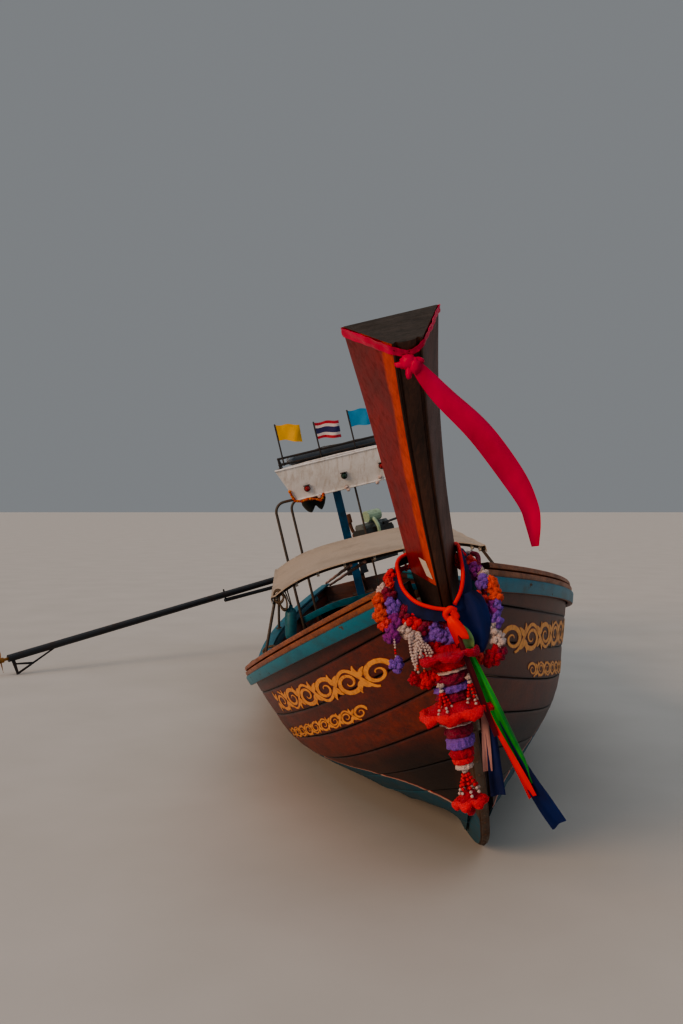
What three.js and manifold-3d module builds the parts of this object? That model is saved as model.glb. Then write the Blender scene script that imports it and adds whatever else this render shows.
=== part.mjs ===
// Longtail boat, beached and lying on its starboard bilge. Millimetres, +Z up.
// The boat is drawn upright in its own frame and one group then heels it over onto the sand.
// Boat frame: s runs aft from the foot of the stem, b to starboard, z up from the keel's underside.
// The bow points to -Y and starboard to -X, so a boat point (s, b, z) is the vector (-b, s, z).
import * as THREE from 'three';
import { mergeVertices } from 'three/addons/utils/BufferGeometryUtils.js';
import Module from 'manifold-3d';

const wasm = await Module();
wasm.setup();

const HEEL = 13.6 * Math.PI / 180;
const GAP = 0.4;
const PLANK = 22;
const KEEL_HALF = 45;
const KEEL_SHORT = 40;
const STATIONS = 20;
const STERN_TAPER_FROM = 3800;

// Plank seams, from the keel rabbet up to the sheer. Columns: s, b and z of the bow end; greatest half
// breadth, its station and the bow's fullness; least height, the station where the line levels out and
// how fast it drops there; then s, b and z of the transom end.
const SEAMS = [
  {
    s0: 90, b0: 54, z0: 48, wide: 52, at: 2800, full: 2,
    low: 45, level: 900, drop: 2, s1: 8270, b1: 54, z1: 48,
  },
  {
    s0: -380, b0: 62, z0: 290, wide: 700, at: 3000, full: 2.1,
    low: 159, level: 2200, drop: 2, s1: 8300, b1: 330, z1: 270,
  },
  {
    s0: -640, b0: 68, z0: 590, wide: 975, at: 3000, full: 2.3,
    low: 325, level: 2800, drop: 1.8, s1: 8360, b1: 415, z1: 420,
  },
  {
    s0: -830, b0: 78, z0: 1010, wide: 1076, at: 2900, full: 2.3,
    low: 500, level: 3300, drop: 1.65, s1: 8430, b1: 465, z1: 590,
  },
  {
    s0: -950, b0: 134, z0: 1480, wide: 1160, at: 2800, full: 2.35,
    low: 685, level: 3760, drop: 1.57, s1: 8520, b1: 490, z1: 780,
  },
];

// Front edge of keel, stem and prow seen from the side, with the timber's section square to that edge.
// Columns: forward of the foot, height, half width in front, half width behind, depth.
const PROFILE = [
  { x: -250, z: 0, front: 45, back: 45, deep: 98 },
  { x: 0, z: 6, front: 26, back: 45, deep: 104 },
  { x: 240, z: 96, front: 23, back: 45, deep: 112 },
  { x: 455, z: 262, front: 23, back: 45, deep: 118 },
  { x: 655, z: 490, front: 24, back: 45, deep: 124 },
  { x: 830, z: 780, front: 25, back: 48, deep: 132 },
  { x: 955, z: 1110, front: 26, back: 56, deep: 148 },
  { x: 1055, z: 1430, front: 29, back: 98, deep: 185 },
  { x: 1190, z: 1750, front: 37, back: 120, deep: 225 },
  { x: 1400, z: 2050, front: 46, back: 150, deep: 265 },
  { x: 1634, z: 2279, front: 55, back: 184, deep: 300 },
];
const STEM_TOP_ROW = 6;
const BAND = { wide: 34, thick: 5, edge: 4, from: 1, to: 5 };
const SPLICE = 0.004;

// Tail, engine and where they stand. The tail is swung round to starboard until the skeg finds the sand.
const PIVOT = { s: 8255, z: 1100 };
const TAIL_SWING = 127.5 * Math.PI / 180;
const TAIL_LONG = 4770;
const SKEG_DEEP = 185;
const SKEG_CLEAR = 1.4;

const wood = new THREE.MeshStandardMaterial({ color: 0x5a2413, roughness: 0.4 });
const railWood = new THREE.MeshStandardMaterial({ color: 0x9a5a2c, roughness: 0.45 });
const darkWood = new THREE.MeshStandardMaterial({ color: 0x3b2a20, roughness: 0.7 });
const greyWood = new THREE.MeshStandardMaterial({ color: 0x6d665c, roughness: 0.85 });
const redPaint = new THREE.MeshStandardMaterial({ color: 0xa82a12, roughness: 0.5 });
const bluePaint = new THREE.MeshStandardMaterial({ color: 0x2b7f9c, roughness: 0.5 });
const antifouling = new THREE.MeshStandardMaterial({ color: 0x23506c, roughness: 0.7 });
const whiteCloth = new THREE.MeshStandardMaterial({ color: 0xd8cdbd, roughness: 0.9 });
const whitePanel = new THREE.MeshStandardMaterial({ color: 0xd9d6cf, roughness: 0.6 });
const steel = new THREE.MeshStandardMaterial({ color: 0x4b4a48, roughness: 0.5, metalness: 0.8 });
const darkIron = new THREE.MeshStandardMaterial({ color: 0x1d1f21, roughness: 0.6, metalness: 0.6 });
const brass = new THREE.MeshStandardMaterial({ color: 0x9b7a3c, roughness: 0.4, metalness: 0.9 });
const rope = new THREE.MeshStandardMaterial({ color: 0x8a7a62, roughness: 0.95 });
const tarp = new THREE.MeshStandardMaterial({ color: 0x4b5a6a, roughness: 0.8 });
const pinkCloth = new THREE.MeshStandardMaterial({ color: 0xe0185a, roughness: 0.6 });
const purpleYarn = new THREE.MeshStandardMaterial({ color: 0x8a2a8c, roughness: 0.95 });
const redYarn = new THREE.MeshStandardMaterial({ color: 0xd8243a, roughness: 0.95 });
const enamel = new THREE.MeshStandardMaterial({ color: 0x5f6668, roughness: 0.5, metalness: 0.3 });
const greenCloth = new THREE.MeshStandardMaterial({ color: 0x3f9a4a, roughness: 0.9 });
const yellowCloth = new THREE.MeshStandardMaterial({ color: 0xd9b33a, roughness: 0.9 });
const stripedCloth = new THREE.MeshStandardMaterial({ color: 0xb02a3a, roughness: 0.9 });
const skyCloth = new THREE.MeshStandardMaterial({ color: 0x2f9bd0, roughness: 0.9 });

const model = new THREE.Group();
const boat = new THREE.Group();
boat.rotation.y = -HEEL;
model.add(boat);

const at = (s, b, z) => new THREE.Vector3(-b, s, z);

function put(parent, name, geometry, material) {
  const mesh = new THREE.Mesh(geometry, material);
  mesh.name = name;
  parent.add(mesh);
  return mesh;
}

// A closed solid through rings of equal length, with flat ends. Its faces are turned out if the rings
// happen to run the other way round.
function loft(rings) {
  const n = rings[0].length;
  const index = [];
  for (let i = 0; i < rings.length - 1; i += 1) {
    for (let k = 0; k < n; k += 1) {
      const a = i * n + k;
      const b = i * n + (k + 1) % n;
      index.push(a, b, b + n, a, b + n, a + n);
    }
  }
  const last = (rings.length - 1) * n;
  for (const [a, b, c] of capTriangles(rings[0])) {
    index.push(a, c, b);
  }
  for (const [a, b, c] of capTriangles(rings[rings.length - 1])) {
    index.push(last + a, last + b, last + c);
  }
  const geometry = new THREE.BufferGeometry().setFromPoints(rings.flat());
  geometry.setIndex(index);
  return outward(geometry);
}

// Triangles of a flat ring, cut in the plane that it lies in.
function capTriangles(ring) {
  const normal = new THREE.Vector3();
  ring.forEach((p, i) => {
    const q = ring[(i + 1) % ring.length];
    normal.x += (p.y - q.y) * (p.z + q.z);
    normal.y += (p.z - q.z) * (p.x + q.x);
    normal.z += (p.x - q.x) * (p.y + q.y);
  });
  normal.normalize();
  const turn = new THREE.Quaternion().setFromUnitVectors(normal, new THREE.Vector3(0, 0, 1));
  const flat = ring.map((p) => p.clone().applyQuaternion(turn)).map((p) => new THREE.Vector2(p.x, p.y));
  return THREE.ShapeUtils.triangulateShape(flat, []);
}

function signedVolume(geometry) {
  const p = geometry.attributes.position;
  const index = geometry.index.array;
  const [a, b, c] = [new THREE.Vector3(), new THREE.Vector3(), new THREE.Vector3()];
  let volume = 0;
  for (let i = 0; i < index.length; i += 3) {
    a.fromBufferAttribute(p, index[i]);
    b.fromBufferAttribute(p, index[i + 1]);
    c.fromBufferAttribute(p, index[i + 2]);
    volume += a.dot(b.cross(c));
  }
  return volume;
}

function outward(geometry) {
  if (signedVolume(geometry) < 0) {
    const index = geometry.index.array;
    for (let i = 0; i < index.length; i += 3) {
      [index[i], index[i + 1]] = [index[i + 1], index[i]];
    }
  }
  return geometry;
}

function solid(geometry) {
  let g = geometry.clone();
  g.deleteAttribute('normal');
  g.deleteAttribute('uv');
  g = mergeVertices(g, 1e-4);
  return new wasm.Manifold(new wasm.Mesh({
    numProp: 3,
    vertProperties: new Float32Array(g.attributes.position.array),
    triVerts: new Uint32Array(g.index.array),
  }));
}

function unsolid(manifold) {
  const mesh = manifold.getMesh();
  const geometry = new THREE.BufferGeometry();
  geometry.setAttribute('position', new THREE.BufferAttribute(mesh.vertProperties, 3));
  geometry.setIndex(new THREE.BufferAttribute(mesh.triVerts, 1));
  return geometry;
}

const join = (pieces) => unsolid(pieces.map(solid).reduce((a, b) => a.add(b)));
const cut = (piece, tools) => unsolid(tools.map(solid).reduce((a, b) => a.subtract(b), solid(piece)));

// A round bar along points; smooth bends it through them, otherwise it runs straight from one to the next.
function bar(points, radius, { sides = 8, steps = 1, smooth = false } = {}) {
  const circle = new THREE.Shape();
  for (let i = 0; i < sides; i += 1) {
    const angle = i * 2 * Math.PI / sides;
    circle[i ? 'lineTo' : 'moveTo'](radius * Math.cos(angle), radius * Math.sin(angle));
  }
  circle.closePath();
  let path = new THREE.LineCurve3(points[0], points[points.length - 1]);
  if (smooth) path = new THREE.CatmullRomCurve3(points, false, 'centripetal');
  return new THREE.ExtrudeGeometry(circle, { steps, bevelEnabled: false, extrudePath: path });
}

// A straight-sided block between two boat points, its faces square to the boat.
function block(low, high) {
  const geometry = new THREE.BoxGeometry(high[1] - low[1], high[0] - low[0], high[2] - low[2]);
  geometry.translate(-(low[1] + high[1]) / 2, (low[0] + high[0]) / 2, (low[2] + high[2]) / 2);
  return geometry;
}

// Hull form
function seamPoint(seam, t) {
  const s = seam.s0 + (seam.s1 - seam.s0) * t;
  const bow = Math.min(1, (s - seam.s0) / (seam.at - seam.s0));
  const stern = Math.max(0, (s - STERN_TAPER_FROM) / (seam.s1 - STERN_TAPER_FROM));
  const settle = Math.min(1, (s - seam.s0) / (seam.level - seam.s0));
  const swell = (seam.wide - seam.b0) * (1 - (1 - bow) ** seam.full);
  const tuck = (seam.wide - seam.b1) * stern ** 2;
  const drop = (seam.z0 - seam.low) * (1 - settle) ** seam.drop;
  const rise = (seam.z1 - seam.low) * stern ** 2;
  return new THREE.Vector3(s, seam.b0 + swell - tuck, seam.low + drop + rise);
}

// Outer skin at t along the boat and v seams up from the keel: flat to the first seam, rounded above it.
function skin(t, v) {
  const rows = SEAMS.map((seam) => seamPoint(seam, t));
  if (v <= 1) {
    return rows[0].clone().lerp(rows[1], v);
  }
  const k = Math.min(Math.floor(v), SEAMS.length - 2);
  const before = k > 1 ? rows[k - 1] : rows[k].clone().multiplyScalar(2).sub(rows[k + 1]);
  const after = rows[k + 2] ?? rows[k + 1].clone().multiplyScalar(2).sub(rows[k]);
  const round = new THREE.CatmullRomCurve3([before, rows[k], rows[k + 1], after], false, 'catmullrom', 0.5);
  return round.getPoint((1 + v - k) / 3);
}

function skinNormal(t, v) {
  const dt = 0.004;
  const dv = 0.02;
  const along = skin(Math.min(1, t + dt), v).sub(skin(Math.max(0, t - dt), v));
  const up = skin(t, Math.min(SEAMS.length - 1, v + dv)).sub(skin(t, Math.max(0, v - dv)));
  return along.cross(up).normalize();
}

// A point under the skin. Both planks of a seam are inset along the seam's own normal, so they stay apart.
function inset(t, v, depth) {
  const seam = Math.round(v);
  const normal = skinNormal(t, Math.abs(v - seam) < 0.01 ? seam : v);
  const p = skin(t, v).addScaledVector(normal, depth);
  p.y = Math.max(p.y, KEEL_HALF + 1);
  return p;
}
const side = (p, starboard) => at(p.x, starboard ? p.y : -p.y, p.z);

// Point of the skin at station s, v seams up and inset by depth; the few steps settle t on that station.
function skinAt(s, v, depth) {
  const length = SEAMS[4].s1 - SEAMS[4].s0;
  let t = (s - SEAMS[4].s0) / length;
  let p = inset(t, v, depth);
  for (let k = 0; k < 8; k += 1) {
    t = Math.min(1, Math.max(0, t + (s - p.x) / length));
    p = inset(t, v, depth);
  }
  return p;
}

// Half breadth at height z of station s, inset by depth.
function breadthAt(s, z, depth) {
  let low = 0;
  let high = SEAMS.length - 1;
  for (let i = 0; i < 20; i += 1) {
    const v = (low + high) / 2;
    if (skinAt(s, v, depth).z < z) {
      low = v;
    } else {
      high = v;
    }
  }
  return skinAt(s, low, depth).y;
}

// A place near the sheer: down along the topmost plank and out square to it, or level where flat is set.
// The plank's fall is taken over this share of it.
const FALL_SHARE = 0.45;
function sheer(t, down, out, flat) {
  const top = SEAMS.length - 1;
  const p = skin(t, top);
  const fall = skin(t, top - FALL_SHARE).sub(p);
  const normal = skinNormal(t, top);
  if (flat) {
    fall.set(0, 0, -1);
    normal.setZ(0).normalize();
  }
  return p.addScaledVector(fall.normalize(), down).addScaledVector(normal, -out);
}

// Keel, stem and prow
const profileRow = (i) => PROFILE[Math.max(0, Math.min(PROFILE.length - 1, i))];
function postSection(i) {
  const row = profileRow(i);
  const next = profileRow(i + 1);
  const last = profileRow(i - 1);
  const run = new THREE.Vector2(next.x - last.x, next.z - last.z).normalize();
  const backX = row.x - run.y * row.deep;
  const backZ = row.z + run.x * row.deep;
  return [
    at(-row.x, row.front, row.z), at(-backX, row.back, backZ),
    at(-backX, -row.back, backZ), at(-row.x, -row.front, row.z),
  ];
}
const rowsBetween = (from, to) => Array.from({ length: to - from + 1 }, (_, i) => postSection(from + i));

function makeKeel() {
  const foot = postSection(0).map((p) => p.clone().add(at(GAP, 0, 0)));
  const heel = foot.map((p) => p.clone().setY(SEAMS[0].s1 - KEEL_SHORT));
  return loft([foot, heel]);
}

function makeProw() {
  const base = postSection(STEM_TOP_ROW).map((p, i) => {
    const next = postSection(STEM_TOP_ROW + 1)[i];
    return p.clone().lerp(next, SPLICE);
  });
  return loft([base, ...rowsBetween(STEM_TOP_ROW + 1, PROFILE.length - 1)]);
}

function makeBand() {
  const rings = [];
  for (let i = BAND.from; i <= BAND.to; i += 1) {
    const [front, back] = postSection(i);
    const out = front.clone().setX(0).sub(back.clone().setX(0)).normalize();
    const half = Math.min(BAND.wide / 2, profileRow(i).front - BAND.edge);
    const near = front.clone().setX(0).addScaledVector(out, GAP);
    const far = near.clone().addScaledVector(out, BAND.thick);
    rings.push([
      near.clone().setX(-half), near.clone().setX(half), far.clone().setX(half), far.clone().setX(-half),
    ]);
  }
  return loft(rings);
}

put(boat, 'keel', makeKeel(), antifouling);
put(boat, 'stem', loft(rowsBetween(0, STEM_TOP_ROW)), darkWood);
put(boat, 'prow_post', makeProw(), redPaint);
put(boat, 'stem_band', makeBand(), darkIron);

// Places along the boat, closer together towards the bow where the planks turn most
const CROWDING = 1.4;
const place = (i, count) => (i / count) ** CROWDING;

// Planking: one solid for each strake, seven points round its section, a hair apart from the next one
const SEAM_GAP = 0.007;
function makeStrake(k, starboard) {
  const rings = [];
  const levels = [k + SEAM_GAP, k + 1 / 3, k + 2 / 3, k + 1 - SEAM_GAP];
  for (let i = 0; i <= STATIONS; i += 1) {
    const t = place(i, STATIONS);
    const outer = levels.map((v) => inset(t, v, 0));
    const inner = levels.map((v) => inset(t, v, PLANK)).reverse();
    // the uppermost plank is planed level under the cap rail
    const rise = k + 1 < SEAMS.length - 1 ? PLANK : 0;
    inner[0].z = Math.min(inner[0].z, outer[outer.length - 1].z + rise);
    rings.push([...outer, ...inner].map((p) => side(p, starboard)));
  }
  return loft(rings);
}

const SIDES = [['starboard', true], ['port', false]];
const STRAKES = ['garboard', 'bilge_strake', 'side_strake', 'sheer_strake'];
for (const [sideName, starboard] of SIDES) {
  STRAKES.forEach((name, k) => {
    put(boat, `${name}_${sideName}`, makeStrake(k, starboard), k ? wood : antifouling);
  });
}

// Rails that follow the sheer. Columns: name, top and bottom below the sheer, outer and inner edge
// outside it, stations left out at bow and stern, laid flat or along the plank, paint.
const RAILS = [
  { name: 'cap_rail', top: -27, bottom: -1, out: 22, inn: -88, skip: [1, 0], flat: true, paint: railWood },
  { name: 'rub_rail', top: 50, bottom: 122, out: 38, inn: 5, skip: [0, 0], flat: false, paint: bluePaint },
  { name: 'inwale', top: 36, bottom: 96, out: -27, inn: -60, skip: [4, 1], flat: false, paint: bluePaint },
];
function makeRail(rail, starboard) {
  const rings = [];
  for (let i = rail.skip[0]; i <= STATIONS - rail.skip[1]; i += 1) {
    const t = place(i, STATIONS);
    const corners = [
      [rail.top, rail.out], [rail.bottom, rail.out], [rail.bottom, rail.inn], [rail.top, rail.inn],
    ];
    rings.push(corners.map(([down, out]) => side(sheer(t, down, out, rail.flat), starboard)));
  }
  return loft(rings);
}
for (const [sideName, starboard] of SIDES) {
  for (const rail of RAILS) {
    put(boat, `${rail.name}_${sideName}`, makeRail(rail, starboard), rail.paint);
  }
}

// Transom, ribs on their keelson, floor, decks and thwarts
const RIB = {
  stations: [1080, 1700, 2350, 3200, 4050, 4900, 5750, 6600, 7450],
  sided: 40,
  moulded: 34,
  gap: 8,
  low: 112,
  high: 148,
};
const RIB_CLEAR = 9;
const INSIDE_RIBS = PLANK + RIB.gap + RIB.moulded + RIB_CLEAR;
const KEELSON = { from: 500, to: 7900, half: 40, low: 101, high: 150 };

// Its faces as shares of the hull's length, and how far it stays inside the planks.
const TRANSOM = { near: 0.990, far: 0.9942, clear: 3 };
function makeTransom() {
  const levels = [0.2, 1, 1.5, 2, 2.5, 3, 3.5, 3.93];
  const rings = [TRANSOM.near, TRANSOM.far].map((t) => {
    const right = levels.map((v) => inset(t, v, PLANK + TRANSOM.clear));
    return [...right.map((p) => side(p, true)), ...right.map((p) => side(p, false)).reverse()];
  });
  return loft(rings);
}

function makeRib(s) {
  const levels = [3.5, 3.2, 2.8, 2.4, 2, 1.6, 1.2, 0.9, 0.2];
  const near = s - RIB.sided / 2;
  const far = s + RIB.sided / 2;
  const section = (v, starboard) => {
    const outer = PLANK + RIB.gap;
    return [[near, outer], [far, outer], [far, outer + RIB.moulded], [near, outer + RIB.moulded]]
      .map(([station, depth]) => side(skinAt(station, v, depth).setX(station), starboard));
  };
  const middle = [at(near, 0, RIB.low), at(far, 0, RIB.low), at(far, 0, RIB.high), at(near, 0, RIB.high)];
  const starboardHalf = levels.map((v) => section(v, true));
  const portHalf = levels.map((v) => section(v, false)).reverse();
  return loft([...starboardHalf, middle, ...portHalf]);
}

// A flat board from side to side, cut to the hull at each station it is given.
function board(stations, low, high, clear) {
  return loft(stations.map((s) => {
    const half = breadthAt(s, low, clear);
    return [at(s, -half, low), at(s, half, low), at(s, half, high), at(s, -half, high)];
  }));
}

const FOREDECK = { drop: 70, clear: 62 };
function makeForedeck() {
  const stations = [-640, -450, -250, 0, 300, 620];
  return loft(stations.map((s) => {
    const top = skinAt(s, SEAMS.length - 1, 0).z - FOREDECK.drop;
    const half = breadthAt(s, top - PLANK, PLANK + FOREDECK.clear);
    return [at(s, -half, top - PLANK), at(s, half, top - PLANK), at(s, half, top), at(s, -half, top)];
  }));
}

const FLOOR = { low: 232, high: 252, from: 1200, to: 7000, step: 580 };
const SLOT = { wide: 9, pitch: 150, long: 900, bridge: 60, edge: 40, over: 10 };
function makeFloor() {
  const stations = [];
  for (let s = FLOOR.from; s <= FLOOR.to; s += FLOOR.step) {
    stations.push(s);
  }
  const solidFloor = board(stations, FLOOR.low, FLOOR.high, INSIDE_RIBS);
  const slots = [];
  for (let s = FLOOR.from + SLOT.bridge; s + SLOT.long < FLOOR.to; s += SLOT.long + SLOT.bridge) {
    const near = breadthAt(s, FLOOR.low, INSIDE_RIBS);
    const far = breadthAt(s + SLOT.long, FLOOR.low, INSIDE_RIBS);
    for (let b = SLOT.pitch / 2; b < Math.min(near, far) - SLOT.edge; b += SLOT.pitch) {
      for (const middle of [b, -b]) {
        const low = [s, middle - SLOT.wide / 2, FLOOR.low - SLOT.over];
        const high = [s + SLOT.long, middle + SLOT.wide / 2, FLOOR.high + SLOT.over];
        slots.push(block(low, high));
      }
    }
  }
  return cut(solidFloor, slots);
}

put(boat, 'transom', makeTransom(), darkWood);
const keelson = block([KEELSON.from, -KEELSON.half, KEELSON.low], [KEELSON.to, KEELSON.half, KEELSON.high]);
put(boat, 'frames', join([keelson, ...RIB.stations.map(makeRib)]), darkWood);
put(boat, 'floorboards', makeFloor(), greyWood);
put(boat, 'foredeck', makeForedeck(), greyWood);

// Columns: middle station, depth fore and aft, top.
const THWARTS = [
  { s: 1750, deep: 240, top: 560 },
  { s: 3000, deep: 230, top: 500 },
  { s: 4450, deep: 230, top: 490 },
  { s: 5850, deep: 220, top: 500 },
  { s: 6720, deep: 200, top: 520 },
];
const THWART_THICK = 34;
THWARTS.forEach((thwart, i) => {
  const stations = [thwart.s - thwart.deep / 2, thwart.s + thwart.deep / 2];
  put(boat, `thwart_${i + 1}`, board(stations, thwart.top - THWART_THICK, thwart.top, INSIDE_RIBS), greyWood);
});
const STERN_DECK = { stations: [7560, 7900, 8290], low: 556, high: 580, clear: 8 };
const sternDeck = board(STERN_DECK.stations, STERN_DECK.low, STERN_DECK.high, PLANK + STERN_DECK.clear);
put(boat, 'stern_deck', sternDeck, greyWood);

// Engine bed: a post with knees on the stern deck, bored for the swivel's spindle
const POST = { half: 75, behind: 30, foot: STERN_DECK.high + GAP, top: 858 };
const KNEE = { half: 30, reach: 330, low: 45, toe: 70, lap: 5, below: 50 };
const SOLE = { wider: 60, longer: 60, thick: 50 };
const SPINDLE = { radius: 30, long: 110, play: 2, bottom: 5, over: 20 };
function makeEngineBed() {
  const s = PIVOT.s;
  const back = s + POST.behind;
  const post = block([s - POST.half, -POST.half, POST.foot], [back, POST.half, POST.top]);
  const soleHalf = POST.half + SOLE.wider;
  const soleFront = s - KNEE.reach - SOLE.longer;
  const sole = block([soleFront, -soleHalf, POST.foot], [back, soleHalf, POST.foot + SOLE.thick]);
  const heel = s - POST.half + KNEE.lap;
  const toe = s - KNEE.reach;
  const knee = loft([-KNEE.half, KNEE.half].map((b) => [
    at(heel, b, POST.foot + KNEE.low), at(toe, b, POST.foot + KNEE.low),
    at(toe, b, POST.foot + KNEE.toe), at(heel, b, POST.top - KNEE.below),
  ]));
  const bottom = at(s, 0, POST.top - SPINDLE.long - SPINDLE.bottom);
  const hole = bar([bottom, at(s, 0, POST.top + SPINDLE.over)], SPINDLE.radius + SPINDLE.play, { sides: 16 });
  return cut(join([post, sole, knee]), [hole]);
}
put(boat, 'engine_bed', makeEngineBed(), darkWood);

// Front canopy: two hoops, three stringers and four legs of one welded frame under a stretched cloth.
// Columns: station, height at the edge, rise in the middle, station of the legs' feet on the rail.
const PIPE = 13;
const FRONT_HALF = 900;
const ARCH_FULL = 3.4;
const LEG = { inside: 90, above: 11, into: 4 };
const FRONT_HOOPS = [
  { s: 3400, edge: 1200, rise: 138, leg: 3330 },
  { s: 5200, edge: 1310, rise: 132, leg: 5260 },
];
const archHeight = (hoop, b) => hoop.edge + hoop.rise * (1 - Math.abs(b / FRONT_HALF) ** ARCH_FULL);
function railTop(s) {
  const edge = skinAt(s, SEAMS.length - 1, 0);
  return { b: edge.y + 30, z: edge.z - RAILS[0].top };
}
function makeFrontFrame() {
  const pieces = [];
  for (const hoop of FRONT_HOOPS) {
    const points = [];
    for (let i = -6; i <= 6; i += 1) {
      const b = FRONT_HALF * Math.sin(i * Math.PI / 12);
      points.push(at(hoop.s, b, archHeight(hoop, b)));
    }
    pieces.push(bar(points, PIPE, { steps: 20, smooth: true }));
    const foot = railTop(hoop.leg);
    for (const hand of [-1, 1]) {
      const low = at(hoop.leg, hand * (foot.b - LEG.inside), foot.z + LEG.above);
      pieces.push(bar([low, at(hoop.s, hand * FRONT_HALF, hoop.edge + LEG.into)], PIPE));
    }
  }
  for (const b of [-FRONT_HALF, 0, FRONT_HALF]) {
    pieces.push(bar(FRONT_HOOPS.map((hoop) => at(hoop.s, b, archHeight(hoop, b))), PIPE - 1));
  }
  return join(pieces);
}

// The cloth overhangs the hoops fore and aft and turns down over the outer stringers.
const CLOTH = { thick: 9, overhang: 60, over: 12, side: 36, hem: 42, drop: 45, spread: 1.006 };
function makeFrontCloth() {
  const overhang = [-CLOTH.overhang, CLOTH.overhang];
  const rings = FRONT_HOOPS.map((hoop, k) => {
    const s = hoop.s + overhang[k];
    const top = [];
    const under = [];
    for (let i = -8; i <= 8; i += 1) {
      const across = (FRONT_HALF + CLOTH.side) * Math.sin(i * Math.PI / 16);
      const inner = Math.max(-FRONT_HALF, Math.min(FRONT_HALF, across));
      const z = archHeight(hoop, inner) + PIPE + CLOTH.over;
      under.push(at(s, across, z));
      top.push(at(s, across * CLOTH.spread, z + CLOTH.thick));
    }
    const hem = FRONT_HALF + CLOTH.hem;
    const outer = hem + CLOTH.thick;
    const low = hoop.edge - CLOTH.drop;
    return [
      at(s, -hem, low), ...under, at(s, hem, low),
      at(s, outer, low), ...top.reverse(), at(s, -outer, low),
    ];
  });
  return loft(rings);
}
put(boat, 'front_canopy_frame', makeFrontFrame(), steel);
put(boat, 'front_canopy_cloth', makeFrontCloth(), whiteCloth);

// Rear canopy: two bent pipe hoops on the thwarts, a roof on its own rim, a sloped white board in front
// that carries three lamps, and a rack on top with a folded tarpaulin.
const REAR = { low: 2000, roof: 2330, half: 700, from: 5620, to: 7000, thick: 18, camber: 22 };
const REAR_HOOPS = [
  { s: 5850, half: 800, foot: THWARTS[3].top },
  { s: 6720, half: 640, foot: THWARTS[4].top },
];
const HOOP_PIPE = { radius: 15, bend: 110, cornerIn: 30, cornerDown: 32, into: 4 };
// The lighter pipes: radius, half width of rails, of the rim and of the stays' feet, a single post's place.
const LIGHT_PIPE = { radius: 11, rail: 500, rim: 660, foot: 560, lap: 4, below: 12, inside: 40, post: -105 };
function makeRearFrame() {
  const pieces = [];
  const rimZ = REAR.roof - LIGHT_PIPE.below;
  for (const hoop of REAR_HOOPS) {
    for (const hand of [-1, 1]) {
      const corner = [
        at(hoop.s, hand * hoop.half, REAR.low - HOOP_PIPE.bend),
        at(hoop.s, hand * (hoop.half - HOOP_PIPE.cornerIn), REAR.low - HOOP_PIPE.cornerDown),
        at(hoop.s, hand * (hoop.half - HOOP_PIPE.bend), REAR.low),
      ];
      const foot = at(hoop.s, hand * hoop.half, hoop.foot + GAP);
      pieces.push(bar([foot, corner[0].clone().add(at(0, 0, HOOP_PIPE.into))], HOOP_PIPE.radius));
      pieces.push(bar(corner, HOOP_PIPE.radius, { steps: 5, smooth: true }));
      const stay = [at(hoop.s, hand * LIGHT_PIPE.foot, REAR.low), at(hoop.s, hand * LIGHT_PIPE.rim, rimZ)];
      pieces.push(bar(stay, LIGHT_PIPE.radius));
    }
    const reach = hoop.half - HOOP_PIPE.bend + HOOP_PIPE.into;
    pieces.push(bar([at(hoop.s, -reach, REAR.low), at(hoop.s, reach, REAR.low)], HOOP_PIPE.radius));
  }
  const ends = [REAR.from + LIGHT_PIPE.inside, REAR.to - LIGHT_PIPE.inside];
  for (const hand of [-1, 1]) {
    const rail = REAR_HOOPS.map((hoop) => at(hoop.s, hand * LIGHT_PIPE.rail, REAR.low));
    pieces.push(bar(rail, LIGHT_PIPE.radius));
    pieces.push(bar(ends.map((s) => at(s, hand * LIGHT_PIPE.rim, rimZ)), LIGHT_PIPE.radius));
  }
  const rimReach = LIGHT_PIPE.rim + LIGHT_PIPE.lap;
  for (const s of ends) {
    pieces.push(bar([at(s, -rimReach, rimZ), at(s, rimReach, rimZ)], LIGHT_PIPE.radius));
  }
  const [hoop] = REAR_HOOPS;
  const post = [at(hoop.s, LIGHT_PIPE.post, hoop.foot + GAP), at(hoop.s, LIGHT_PIPE.post, REAR.low)];
  pieces.push(bar(post, LIGHT_PIPE.radius));
  return join(pieces);
}

function makeRoof() {
  const section = [-REAR.half, -REAR.half / 2, 0, REAR.half / 2, REAR.half];
  const crown = (b) => REAR.roof + REAR.camber * (1 - (b / REAR.half) ** 2);
  return loft([REAR.from, REAR.to].map((s) => [
    ...section.map((b) => at(s, b, crown(b))),
    ...section.map((b) => at(s, b, crown(b) + REAR.thick)).reverse(),
  ]));
}

const FASCIA = { top: 2336, low: 1985, topHalf: 700, lowHalf: 560, topS: 5596, lowS: 5700, thick: 16 };
const LAMP = { radius: 30, out: 55, sunk: 6 };
// Columns: b and height of each lamp's place on the front board.
const LAMPS = [{ b: 410, z: 2080 }, { b: -10, z: 2120 }, { b: -430, z: 2130 }];
function makeFascia() {
  const lean = (FASCIA.lowS - FASCIA.topS) / (FASCIA.top - FASCIA.low);
  const station = (z) => FASCIA.topS + (FASCIA.top - z) * lean;
  const panel = loft([0, FASCIA.thick].map((deep) => [
    at(FASCIA.topS + deep, -FASCIA.topHalf, FASCIA.top), at(FASCIA.topS + deep, FASCIA.topHalf, FASCIA.top),
    at(FASCIA.lowS + deep, FASCIA.lowHalf, FASCIA.low), at(FASCIA.lowS + deep, -FASCIA.lowHalf, FASCIA.low),
  ]));
  const lamps = LAMPS.map((lamp) => {
    const s = station(lamp.z);
    const back = at(s + LAMP.sunk, lamp.b, lamp.z);
    return bar([back, at(s - LAMP.out, lamp.b, lamp.z)], LAMP.radius, { sides: 10 });
  });
  return join([panel, ...lamps]);
}

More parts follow.
